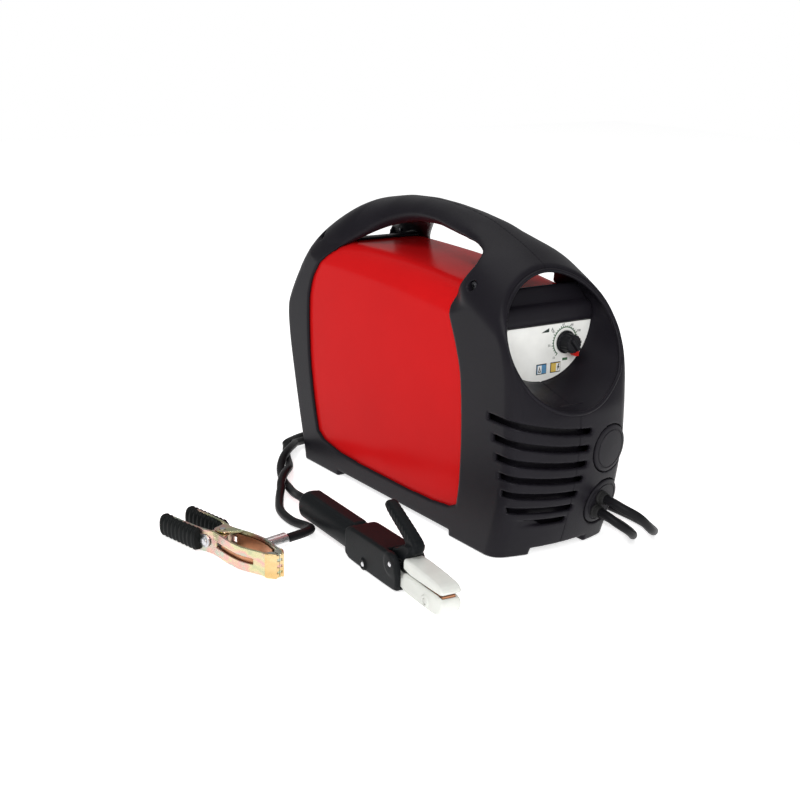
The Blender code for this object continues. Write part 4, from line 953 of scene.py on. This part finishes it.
def dial_marks():
    ring = [on_dial(a, 12.4) for a in range(-142, 143, 4)] + [on_dial(a, 11.5) for a in range(142, -143, -4)]
    plate_mark("dial_ring", ring, "ink_green")
    for i in range(29):
        angle = -140 + 10 * i
        long_tick = i % 4 == 0
        reach = 14.0 if long_tick else 13.3
        corners = [on_dial(angle - 1.9, 12.3), on_dial(angle - 1.6, reach), on_dial(angle + 1.6, reach),
                   on_dial(angle + 1.9, 12.3)]
        plate_mark(f"dial_tick_{i:02d}", corners, "ink_green")
    labels = ((-138, "10"), (-96, "20"), (-54, "40"), (-10, "60"), (27, "80"), (62, "100"), (98, "120"))
    for angle, word in labels:
        x, z = on_dial(angle, 16.6 - 2.3 * max(0.0, math.cos(math.radians(angle))) ** 2)
        plate_word(f"dial_number_{word}", word, x, z, 2.7)


def plate_signs():
    plate_mark("ramp_sign", ((-2.0, 173.2), (6.2, 173.2), (6.2, 176.6)))
    plate_word("ampere_sign", "A", 9.6, 174.9, 4.0)
    plate_mark("fuse_sign", ((21.6, 148.0), (27.0, 148.0), (27.0, 150.2), (21.6, 150.2)), "ink_green")
    for name, x, side in (("power", 0.0, -1), ("heat", 14.6, 1)):
        frame_marks = ((-5.3, -4.3), (5.3, -4.3), (5.3, 4.3), (-5.3, 4.3))
        inner = ((-4.7, -3.7), (4.7, -3.7), (4.7, 3.7), (-4.7, 3.7))
        for k in range(4):
            n = (k + 1) % 4
            bar = [(x + p[0], 143.4 + p[1]) for p in (frame_marks[k], frame_marks[n], inner[n], inner[k])]
            plate_mark(f"lamp_frame_{name}_{k}", bar)
        patch = [(x + side * a, 143.4 + b) for a, b in ((0.3, -3.3), (4.3, -3.3), (4.3, 3.3), (0.3, 3.3))]
        plate_mark(f"lamp_patch_{name}", patch, "ink_white", 0.68)
    bolt = ((17.3, 146.3), (18.3, 146.3), (17.3, 143.9), (18.5, 143.9), (16.0, 140.5), (16.7, 143.0),
            (15.7, 143.0))
    plate_mark("bolt_sign", bolt, "ink_dark", 0.8)
    plate_mark("warm_sign", ((-3.9, 141.0), (-0.9, 141.0), (-2.4, 145.9)), "ink_dark", 0.8)
    plate_mark("warm_sign_inner", ((-3.0, 141.7), (-1.8, 141.7), (-2.4, 143.8)), "ink_white", 0.88)


dial_marks()
plate_signs()


# %% [markdown]
# ## The knob
# A real knob of this kind is moulded with flutes for grip and a red pointer on its skirt. The flutes are a
# ripple on the radius, and both pieces ride on the knob's body, so they turn together.

# %% Knob
def knob_field(x, y, z):
    out = PLATE_Y - y
    radius = np.hypot(x - KNOB_X, z - KNOB_Z)
    around = np.arctan2(x - KNOB_X, z - KNOB_Z)
    cap = radius - (8.4 - 0.07 * out - 0.22 * (1 + np.cos(16 * around)))
    cap = round_max(cap, out - 12.2, 1.3)
    skirt = round_max(radius - 9.4, np.abs(out - 1.4) - 1.1, 0.6)
    aim = math.radians(140)
    along = (x - KNOB_X) * math.sin(aim) + (z - KNOB_Z) * math.cos(aim)
    across = (x - KNOB_X) * math.cos(aim) - (z - KNOB_Z) * math.sin(aim)
    ridge = round_max(np.abs(across) - 1.9, np.abs(along) - 6.2, 1.0)
    ridge = round_max(ridge, np.abs(out - 11.5) - 3.3, 0.9)
    shaft = np.maximum(radius - 3.0, np.abs(out + 6.0) - 8.4)
    return np.minimum(round_min(round_min(cap, skirt, 0.6), ridge, 0.8), shaft)


knob = contour("knob_skin", (12, -141, 152), (35, -110, 175.5), 0.4, knob_field, "knob_black",
               ("current_knob",), "knob")


def knob_pointer():
    points = [on_dial(140 + a, r) for a, r in ((-24, 7.0), (-15, 12.6), (0, 15.6), (15, 12.6), (24, 7.0))]
    rings = [[(x, PLATE_Y - lift, z) for x, z in points] for lift in (2.3, 6.4)]
    return dress(crease(loft("knob_pointer", rings)), "pointer_red", (), "knob")


pointer = knob_pointer()
for mark_slot, record_slot in (("ink_dark", "white_plate"), ("ink_green", "white_plate"),
                               ("ink_white", "white_plate"), ("pointer_red", "knob_black")):
    for made in [o for o in bpy.data.objects if o.get("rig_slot") == mark_slot]:
        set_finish(made, record_slot)

# %% [markdown]
# ## Round inserts and lead bushes
# Two turned discs fill the corner of the nose: a blank above, and below it the one the leads leave through.
# Each has a chamfered rim and a shallow ring, and sits square to the curved face.


# %% Turned parts
def turned(name, profile, count=72):
    """Mesh turned about local z from a closed (radius, height) profile."""
    rings = []
    for i in range(count):
        turn = 2 * math.pi * i / count
        rings.append([(max(r, 0.01) * math.cos(turn), max(r, 0.01) * math.sin(turn), h) for r, h in profile])
    made = loft(name, rings, True)
    return made


def face_turn(x, z):
    """Rotation that lays local z along the front face's outward direction."""
    step = 4.0
    spots = [float(front_face(np.array([a]), np.array([b]))[0])
             for a, b in ((x + step, z), (x - step, z), (x, z + step), (x, z - step))]
    normal = Vector((2 * step, spots[0] - spots[1], 0)).cross(Vector((0, spots[2] - spots[3], 2 * step)))
    return Vector((0, 0, 1)).rotation_difference(normal.normalized()).to_matrix().to_4x4()


def face_at(x, z):
    return Vector((x, float(front_face(np.array([x]), np.array([z]))[0]), z))


def make_inserts():
    for name, (x, z), node in (("blank_disc", BLANK_AT, "front_blank"), ("outlet_disc", OUTLET_AT,
                                                                         "lead_outlet")):
        profile = ((0, -6.0), (18.0, -6.0), (19.6, -5.0), (19.7, -0.9), (19.2, -0.2), (18.4, 0.1), (16.6,
                                                                                                    0.35),
                   (16.2, -0.1), (15.6, -0.1), (15.2, 0.5), (10, 0.9), (5, 1.1), (0, 1.2))
        disc = turned(name, profile)
        turn = Matrix.Translation(face_at(x, z) * MM) @ face_turn(x, z)
        disc.data.transform(turn)
        if node == "lead_outlet":
            for hole_x, hole_z in ((30.8, 30.2), (33.8, 41.8)):
                hole = turned("hole", ((0, -30), (5.8, -30), (5.8, 30), (0, 30)), 40)
                hole.data.transform(Matrix.Translation(Vector((hole_x, -165, hole_z)) * MM)
                                    @ Matrix.Rotation(math.pi / 2, 4, "X"))
                boolean(disc, hole)
        dress(crease(disc, 28), "insert_moulding", (node,))


def make_bushes():
    for node, x, z in (("holder_lead_bush", 30.8, 30.2), ("clamp_lead_bush", 33.8, 41.8)):
        profile = ((4.0, -11), (5.4, -11), (5.4, 1.0), (5.9, 1.4), (5.9, 2.6), (5.1, 3.2), (4.9, 4.6), (5.2,
                                                                                                        5.0),
                   (5.0, 5.8), (4.7, 7.4), (4.3, 7.8), (4.0, 7.5))
        bush = turned(node + "_skin", profile, 48)
        at = face_at(x, z) - Vector((0, 1.0, 0))
        bush.data.transform(Matrix.Translation(at * MM) @ Matrix.Rotation(math.pi / 2, 4, "X"))
        dress(crease(bush, 30), "bush_rubber", (node,))


make_inserts()
make_bushes()
print("inserts and bushes made")

# %% [markdown]
# ## The leads
# Two rubber leads of 7.5 mm leave the outlet, run along the far side of the machine, lie there in a coil each,
# and come round the back. They wrap round each other before they part for the holder and the clamp. Real leads
# for this class are about 2 m and 1.5 m long, so the coils take up what the open runs don't need.


# %% Lead paths
def flowing(points, step=3.0):
    """Even points on a smooth line through given ones."""
    pts = [np.array(p, float) for p in (points[0], *points, points[-1])]
    dense = []
    for i in range(1, len(pts) - 2):
        a, b, c, d = pts[i - 1:i + 3]
        for k in range(20):
            t = k / 20.0
            dense.append(0.5 * (2 * b + (c - a) * t + (2 * a - 5 * b + 4 * c - d) * t * t
                                + (3 * b - a - 3 * c + d) * t ** 3))
    dense.append(pts[-1])
    dense = np.array(dense)
    spans = np.concatenate([[0], np.cumsum(np.linalg.norm(np.diff(dense, axis=0), axis=1))])
    wanted = np.linspace(0, spans[-1], int(spans[-1] / step) + 1)
    return np.stack([np.interp(wanted, spans, dense[:, k]) for k in range(3)], axis=1)


def coil_points(centre, start, turns, seats):
    """Turns of lead lying on and beside each other: each turn keeps one seat of the coil's section."""
    found = []
    steps = int(turns * 20)
    for i in range(steps + 1):
        done = i / 20.0
        seat = min(int(done), len(seats) - 1)
        after = min(seat + 1, len(seats) - 1)
        part = min(max((done - seat - 0.75) / 0.25, 0.0), 1.0)
        part = part * part * (3 - 2 * part)
        radius = seats[seat][0] + (seats[after][0] - seats[seat][0]) * part
        height = seats[seat][1] + (seats[after][1] - seats[seat][1]) * part
        turn = start + 2 * math.pi * done
        found.append((centre[0] + radius * math.cos(turn), centre[1] + radius * math.sin(turn), height))
    return found


def twined(sign):
    """One of two leads that wrap round each other on their way to the tools."""
    start, end = np.array((-60.0, 172.0, 8.3)), np.array((-130.0, 60.0, 8.3))
    run = (end - start) / np.linalg.norm(end - start)
    side = np.array((-run[1], run[0], 0.0)) * -1
    found = []
    for i in range(25):
        share = i / 24.0
        turn = 2 * math.pi * share
        bow = np.array((6.0, 4.0, 0)) * math.sin(math.pi * share)
        offset = math.cos(turn) * side * -1 + math.sin(turn) * np.array((0, 0, 1.0))
        found.append(tuple(start + (end - start) * share - bow + sign * 3.95 * offset))
    return found


HOLDER_START = ((30.8, -152, 30.2), (30.8, -164, 30.2), (30.8, -177, 30.2), (34, -188, 26), (45, -191, 18),
                (58, -183, 9), (70, -166, 4.6), (76, -140, 4.2), (77, -90, 4.2), (72, -30, 4.2), (71, 30,
                                                                                                  4.2),
                (78, 68, 4.2), (98, 91, 4.2))
HOLDER_END = ((-131.5, 42, 10.0), (-137.0, 24, 14.0), (-138.4, 12, 15.0), (-139.0, 2.5, 15.0),
              (-140.3, -18.5, 15.0), (-142.1, -48.4, 15.0), (-144.1, -79.3, 15.0))
CLAMP_START = ((33.8, -154, 41.8), (33.8, -166, 41.8), (33.8, -178, 41.8), (37, -191, 38.5), (48, -199, 31),
               (65, -196, 17), (84, -180, 7), (95, -155, 4.4), (97, -120, 4.2), (94, -80, 4.2), (93, -52,
                                                                                                 4.2),
               (100, -34, 4.2))
CLAMP_MIDDLE = ((172, 52, 4.2), (180, 90, 4.2), (184, 140, 4.2), (166, 186, 4.2), (120, 207, 4.2),
                (60, 204, 4.2), (10, 205, 4.2), (-32, 196, 4.4))
CLAMP_END = ((-145, 44, 5.5), (-156, 22, 4.6), (-160, -4, 5.0), (-159, -26, 7.5), (-163, -40, 10.5),
             (-173, -47.2, 11.9), (-186, -49.9, 11.9), (-204.0, -53.4, 11.9))
SEATS = ((37.6, 4.2), (45.4, 4.2), (41.6, 11.0), (37.2, 12.4), (45.2, 12.4))


def make_leads():
    quarter = math.pi / 2
    holder = list(HOLDER_START) + coil_points((125, 137), -quarter, 4.5, SEATS)
    holder += [(96, 181.5, 9.0), (60, 184.5, 4.4), (20, 187, 4.2), (-18, 184, 4.4), (-42, 178, 6.0)]
    holder += twined(1) + list(HOLDER_END)
    clamp = list(CLAMP_START) + coil_points((125, 20), -quarter, 2.25, ((38.5, 4.2), (46.0, 4.2),
                                                                        (42.0, 11.2)))
    clamp += list(CLAMP_MIDDLE) + twined(-1) + list(CLAMP_END)
    made = {}
    for name, points, nodes in (
            ("holder_lead_skin", holder, ("holder_lead_front", "holder_lead_coil", "holder_lead_rear")),
            ("clamp_lead_skin", clamp, ("clamp_lead_front", "clamp_lead_coil", "clamp_lead_rear"))):
        line = flowing(points)
        line[:, 2] = np.maximum(line[:, 2], 3.95)
        lead = dress(sweep(name, line, 3.75, 14), "lead_rubber", nodes)
        span = float(np.linalg.norm(np.diff(line, axis=0), axis=1).sum()) * MM
        made[name] = (lead, line * MM, span)
        print(name, "is", round(span, 3), "m long")
    return made


LEADS = make_leads()

# %% [markdown]
# ## The electrode holder
# A round handle runs into a squarer body. The thumb lever is a bent bar with a round section, and pressing it
# opens the upper jaw. The jaws are pale insulating mouldings with copper inserts, and a screw holds each insert.

# %% Holder
HOLDER_FRAME = (Matrix.Translation(Vector((-139.0, 1.5, 15.0)) * MM)
                @ Matrix.Rotation(math.radians(-93.6), 4, "Z"))
HOLDER_PIN = (157.0, 6.0)


def rounded_bar(outline, x, z, y, half, radius):
    """Solid with a side outline and a width, all its edges rounded."""
    return round_max(outline_field(outline, x, z), np.abs(y) - half, radius)


def handle_field(x, y, z):
    around = (np.abs(y) ** 2.5 + np.abs(z) ** 2.5) ** (1 / 2.5)
    bar = round_max(around - 12.1, np.abs(x - 43.9) - 44.0, 3.6)
    ledge = round_max(np.abs(y) - 6.0, np.abs(z - 8.0) - 5.0, 1.2)
    ledge = round_max(ledge, np.abs(x - 46.0) - 41.0, 2.0)
    bar = round_min(bar, ledge, 1.5)
    return np.maximum(bar, 4.3 - np.hypot(y, z))


def body_field(x, y, z):
    side = drawn(((84.2, -11.4), (87.5, -12.6), (91.5, -14.7), (158, -14.7), (166, -13.2), (166.4, 4.0),
                  (156, 13.2),
                  (150, 13.9), (96, 13.5), (88.6, 12.2), (84.2, 9.0)), 1)
    body = rounded_bar(side, x, z, y, 13.1, 2.6)
    nub = round_max(np.hypot(x - 116.0, z + 9.4) - 4.6, np.abs(y) - 14.5, 0.8)
    nub = np.maximum(nub, -np.maximum(np.hypot(x - 116.0, z + 9.4) - 2.4, 13.4 - np.abs(y)))
    ear = round_max(np.hypot(x - 157.0, z - 6.0) - 8.4, np.abs(y) - 13.1, 1.2)
    body = round_min(round_min(body, nub, 1.0), ear, 3.0)
    room = np.maximum(np.abs(y) - 9.0, np.maximum(118.0 - x, -11.5 - z))
    room = np.maximum(room, np.minimum(z - 9.6, 146.0 - x))
    body = round_max(body, -room, 0.7)
    body = np.maximum(body, -np.maximum(np.hypot(y, z) - 12.4, x - 88.4))
    return np.maximum(body, 2.3 - np.hypot(x - 157.0, z - 6.0))


def lever_field(x, y, z):
    u, v = x - HOLDER_PIN[0], z - HOLDER_PIN[1]
    arm = ((-24, -1.0), (-10, -1.5), (-4, -6.4), (9.0, -6.4), (9.0, 7.2), (19.0, 12.0), (21.2, 17.5),
           (18.6, 22.9), (-17.0, 40.2), (-22.8, 42.2), (-26.2, 38.8), (-24.2, 33.6), (7.6, 16.6), (6.6, 12.5),
           (-6.5, 6.2), (-24, 3.0))
    bar = outline_field(drawn(arm, 2), u, v)
    bar = round_max(bar, np.abs(y) - (5.1 - 0.35 * (np.sin(u * 1.6) > 0.3) * (v > 22)), 3.2)
    web = round_max(outline_field(drawn(((-9, 3), (8, 3), (15.5, 12), (17, 18), (8, 17.5), (0, 12), (-8,
                                                                                                     9)),
                                        1), u, v),
                    np.abs(y) - 7.6, 1.6)
    ribs = np.maximum(np.abs(y) - 7.8, np.abs(np.abs(y) - 3.4) - 0.7)
    web = np.maximum(web, -np.maximum(ribs, 11.5 - v))
    return np.maximum(round_min(bar, web, 1.5), 2.3 - np.hypot(u, v))


def jaw_screw_seat(jaw, x, y, z, at_x, at_z):
    """Raised ring on the near side of a jaw, with the screw's hole in it."""
    away = np.hypot(x - at_x, z - at_z)
    ring = round_max(away - 4.6, np.abs(y + 7.8) - 2.2, 0.6)
    jaw = round_min(jaw, ring, 0.7)
    return np.maximum(jaw, -np.maximum(away - 2.6, y + 7.2))


def lower_jaw_field(x, y, z):
    side = drawn(((121, -11.0), (164, -11.0), (172, -13.2), (206, -14.3), (215, -13.6), (220.5, -10.0),
                  (222.4, -5.0),
                  (221.6, -1.0), (217, 1.6), (186, 2.2), (167.2, 2.2), (166.8, -2.1), (121, -2.1)), 1)
    jaw = rounded_bar(side, x, z, y, 8.8, 2.6)
    jaw = np.maximum(jaw, -np.maximum(box_field(x, z, 188, 218.5, -3.0, 9), np.abs(y) - 6.0))
    return jaw_screw_seat(jaw, x, y, z, 200.0, -7.6)


def upper_jaw_field(x, y, z):
    side = drawn(((167.6, 3.2), (218, 3.3), (221.8, 4.6), (221.6, 7.2), (217, 10.2), (206, 11.8), (182, 13.4),
                  (172, 13.6), (167.6, 13.2)), 1)
    jaw = rounded_bar(side, x, z, y, 8.8, 2.2)
    return np.maximum(jaw, -np.maximum(box_field(x, z, 188, 218.5, -9, 6.2), np.abs(y) - 6.0))


def insert_field(low_z, high_z, face_z):
    """Copper insert of one jaw, with three rounded grooves across its face."""
    def field(x, y, z):
        bar = round_max(box_field(x, z, 188.4, 218.2, low_z, high_z), np.abs(y) - 5.7, 0.5)
        waves = [np.hypot(x - at, z - face_z) - 1.7 for at in (194.0, 202.5, 211.0)]
        for wave in waves:
            bar = np.maximum(bar, -wave)
        return bar

    return field


def make_holder():
    parts = (("handle_skin", (-3, -15, -15), (91, 15, 16), 0.8, handle_field, "holder_black",
              "holder_handle", ROOT),
             ("holder_body_skin", (81, -17, -17), (170, 17, 18), 0.8, body_field, "holder_black",
              "holder_body", ROOT),
             ("lever_skin", (128, -7, -3), (182, 7, 52), 0.6, lever_field, "holder_black", "holder_lever",
              "holder_lever"),
             ("lower_jaw_skin", (118, -12, -16), (225, 12, 4), 0.6, lower_jaw_field, "jaw_white",
              "holder_jaw_lower", ROOT),
             ("upper_jaw_skin", (164, -11, 0), (224, 11, 16), 0.6, upper_jaw_field, "jaw_white",
              "holder_jaw_upper", "holder_lever"),
             ("lower_insert_skin", (186, -7, -4), (221, 7, 4), 0.5, insert_field(-2.8, 1.9, 2.6),
              "jaw_copper",
              "contact_lower", ROOT),
             ("upper_insert_skin", (186, -7, 2), (221, 7, 8), 0.5, insert_field(3.6, 6.0, 2.9), "jaw_copper",
              "contact_upper", "holder_lever"))
    for name, low, high, cell, field, slot, node, body in parts:
        contour(name, low, high, cell, field, slot, (node,), body, turn=HOLDER_FRAME)


def local_turned(name, profile, at, axis_turn, frame_matrix, slot, nodes=(), body=ROOT, count=40):
    """A turned piece laid in a tool's own frame."""
    made = turned(name, profile, count)
    made.data.transform(frame_matrix @ Matrix.Translation(Vector(at) * MM) @ axis_turn)
    return dress(crease(made, 30), slot, nodes, body)


def holder_screws():
    out = Matrix.Rotation(math.pi / 2, 4, "X")
    head = ((0, -3.0), (2.4, -3.0), (2.4, -0.4), (1.9, 0.1), (0, 0.2))
    local_turned("jaw_screw", head, (200.0, -9.0, -7.6), out, HOLDER_FRAME, "jaw_white", (), ROOT)
    local_turned("body_screw", ((0, -1.5), (2.3, -1.5), (2.3, 0.3), (1.7, 0.9), (0, 1.0)), (116.0, -13.3,
                                                                                            -9.4),
                 out, HOLDER_FRAME, "pin_steel")
    local_turned("lever_pin_skin", ((0, -14.3), (2.1, -14.3), (2.1, -13.4), (2.1, 13.4), (2.1, 14.0),
                                    (1.5, 14.4),
                                    (0, 14.4)), (157.0, 0, 6.0), out, HOLDER_FRAME, "pin_steel",
                 ("holder_pin",))


make_holder()
holder_screws()
print("holder made")

# %% [markdown]
# ## The earth clamp
# Two pressed strips of yellow-passivated steel cross at a sprung pin. Ribbed rubber sleeves cover the grips, the
# tips are folded inwards to square teeth, and a copper strip runs along the inside of each arm, seen through a
# long slot. The film of the passivation drifts from green to pink, so its ramp has several colours.

# %% Clamp
CLAMP_FRAME = (Matrix.Translation(Vector((-247.0, 36.0, 0.4)) * MM)
               @ Matrix.Rotation(math.radians(-78.9), 4, "Z"))
CLAMP_LIFT = Matrix.Translation(Vector((0, 0, 10.0)) * MM)
ARM_LINE = ((14, 13.0), (44, 12.0), (56, 10.0), (64, 9.4), (84, 12.5), (100, 13.0), (116, 9.0), (125, 6.5),
            (131, 1.6))
FINISH["jaw_brass"] = metal("jaw_brass", ((0.3, (0.62, 0.42, 0.18)), (0.7, (0.74, 0.58, 0.32))), 0.3, 500.0,
                            0.25)


def strip_distance(line, x, y):
    """Distance to an open line in the x, y plane."""
    best = np.float32(1e12)
    for (ax, ay), (bx, by) in zip(line, line[1:]):
        dx, dy = bx - ax, by - ay
        share = np.clip(((x - ax) * dx + (y - ay) * dy) / (dx * dx + dy * dy), 0, 1)
        best = np.minimum(best, (x - ax - share * dx) ** 2 + (y - ay - share * dy) ** 2)
    return np.sqrt(best)


def arm_line(inset=0.8):
    """The arm's middle line, smoothed, a little inside the outer face."""
    line = flowing([(x, y - inset, 0.0) for x, y in ARM_LINE], 3.0)
    return [(float(x), float(y)) for x, y, _ in line]


def arm_field(side, ear_top):
    line = arm_line()

    def field(x, y, z):
        out = y * side
        sheet = strip_distance(line, x, out) - 0.85
        height = 9.6 - 1.2 * np.clip((x - 112.0) / 20.0, 0, 1) * 0 - np.abs(z)
        arm = round_max(sheet, -height, 0.45)
        window = round_max(box_field(x, z, 66, 112, -2.4, 2.4), np.abs(z) - 2.4, 0.5)
        arm = round_max(arm, -np.maximum(window, 4.0 - out), 0.3)
        tip = round_max(outline_field(((121, 8.2), (126, 7.4), (131.5, 3.8), (131.5, 0.5), (124, 0.5)), x,
                                      out),
                        np.abs(z) - 9.6, 0.5)
        teeth = np.abs(z - 6.2 * np.round(z / 6.2)) - 1.2
        tip = np.maximum(tip, -np.maximum(teeth, np.maximum(127.0 - x, out - 2.4)))
        ear = outline_field(((53, 9.4), (56, -3.5), (62, -5.5), (68, -3.5), (76, 10.0), (66, 9.2)), x, out)
        ear = round_max(ear, np.abs(np.abs(z) - ear_top + 0.75) - 0.75, 0.3)
        ear = np.maximum(ear, 2.5 - np.hypot(x - 62.0, y))
        return np.minimum(np.minimum(arm, tip), ear)

    return field


def make_grip(side, node, body):
    """Ribbed sleeve: the ribs are soft waves, and the closed end is rounded."""
    rings = []
    for i in range(97):
        x = -0.4 + 48.9 * i / 96.0
        closed = min(1.0, math.sqrt(max(0.0, 1 - ((4.5 - x) / 5.0) ** 2))) if x < 4.5 else 1.0
        rib = 0.93 + 0.07 * math.cos(2 * math.pi * (x - 4.0) / 5.2) if x > 3 else 1.0
        lip = 1.02 if x > 46.6 else 1.0
        scale = max(closed * rib * lip, 0.05)
        ring = []
        for k in range(28):
            turn = 2 * math.pi * k / 28
            c, s = math.cos(turn), math.sin(turn)
            power = (abs(c) ** 2.6 + abs(s) ** 2.6) ** (-1 / 2.6)
            ring.append((x, side * 12.9 + 5.6 * scale * power * c, 9.5 * scale * power * s))
        rings.append(ring)
    grip = loft(node + "_skin", rings)
    grip.data.transform(CLAMP_FRAME @ CLAMP_LIFT)
    return dress(crease(grip, 60), "grip_rubber", (node,), body)


def make_clamp():
    place_here = CLAMP_FRAME @ CLAMP_LIFT
    for side, name, body, top in ((1, "fixed", ROOT, 9.6), (-1, "moving", "clamp_arm", 7.7)):
        low = (10, -17 if side < 0 else -8, -12)
        high = (134, 8 if side < 0 else 17, 12)
        contour(f"arm_{name}_skin", low, high, 0.55, arm_field(side, top), "yellow_zinc",
                (f"clamp_arm_{name}",), body, turn=place_here)
        make_grip(side, f"clamp_grip_{name}", body)
        strip = []
        for x, y in arm_line(2.7):
            if 68 < x < 118:
                strip.append([(x, side * (y + d), z) for d, z in ((-0.35, -6.2), (0.35, -6.2), (0.35, 6.2),
                                                                  (-0.35, 6.2))])
        copper = loft(f"copper_strip_{name}", strip)
        copper.data.transform(place_here)
        dress(crease(copper), "jaw_copper", (), body)
        out = Matrix.Rotation(math.pi / 2 * (1 if side < 0 else -1), 4, "X")
        rivet = ((0, -1.2), (3.0, -1.2), (5.4, -1.0), (5.4, 0.2), (3.7, 0.5), (3.5, 1.6), (2.4, 2.5), (0,
                                                                                                       2.8))
        local_turned(f"rivet_{name}", rivet, (53.5, side * 11.2, 0.0), out, place_here, "zinc_sheet", (),
                     body)
    tip_caps()


def tip_caps():
    """Square brass-coloured jaw plates that close the folded tips."""
    place_here = CLAMP_FRAME @ CLAMP_LIFT
    for side, name, body in ((1, "fixed", ROOT), (-1, "moving", "clamp_arm")):
        def plate(x, y, z, side=side):
            out = y * side
            block = round_max(outline_field(((123.5, 8.4), (127, 7.6), (132.0, 4.0), (132.0, 0.45), (129.4,
                                                                                                     0.45),
                                             (129.4, 3.4), (126.4, 5.6), (123.5, 6.2)), x, out),
                              np.abs(z) - 9.9, 0.5)
            teeth = np.abs(z - 5.0 * np.round(z / 5.0)) - 0.9
            return np.maximum(block, -np.maximum(teeth, out - 2.6))

        low = (121, -10 if side < 0 else -1, -12)
        high = (134, 1 if side < 0 else 10, 12)
        contour(f"jaw_plate_{name}", low, high, 0.4, plate, "jaw_brass", (), body, turn=place_here)
        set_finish(bpy.data.objects[f"jaw_plate_{name}"], "yellow_zinc")


make_clamp()
print("clamp made")

# %% [markdown]
# ## Cords
# Each lead's skin, centre line and length are looked up, and the pieces that hang on each lead are gathered into
# lists.

holder_pieces = [bpy.data.objects[n] for n in ("handle_skin", "holder_body_skin", "lever_skin",
                                               "lower_jaw_skin",
                                              "upper_jaw_skin", "jaw_screw", "body_screw", "lever_pin_skin")]
holder_pieces += [bpy.data.objects["lower_insert_skin"], bpy.data.objects["upper_insert_skin"],
                  NODES["holder_spring"]]
clamp_pieces = [bpy.data.objects[n] for n in (
    "arm_fixed_skin", "arm_moving_skin", "clamp_grip_fixed_skin", "clamp_grip_moving_skin",
                                              "copper_strip_fixed",
    "copper_strip_moving", "rivet_fixed", "rivet_moving", "jaw_plate_fixed", "jaw_plate_moving")]
clamp_pieces += [NODES[n] for n in ("clamp_pin", "clamp_spring", "clamp_lug")]
lead, line, span = LEADS["holder_lead_skin"]
lead, line, span = LEADS["clamp_lead_skin"]

# %% [markdown]
# ## Behind the louvres
# Behind the louvres there is only shade. A thin black liner stands just inside the slots as painted shade, so
# nothing bright shows through them.

# %% Louvre shade liner
louvre_liner()
print("liner made")
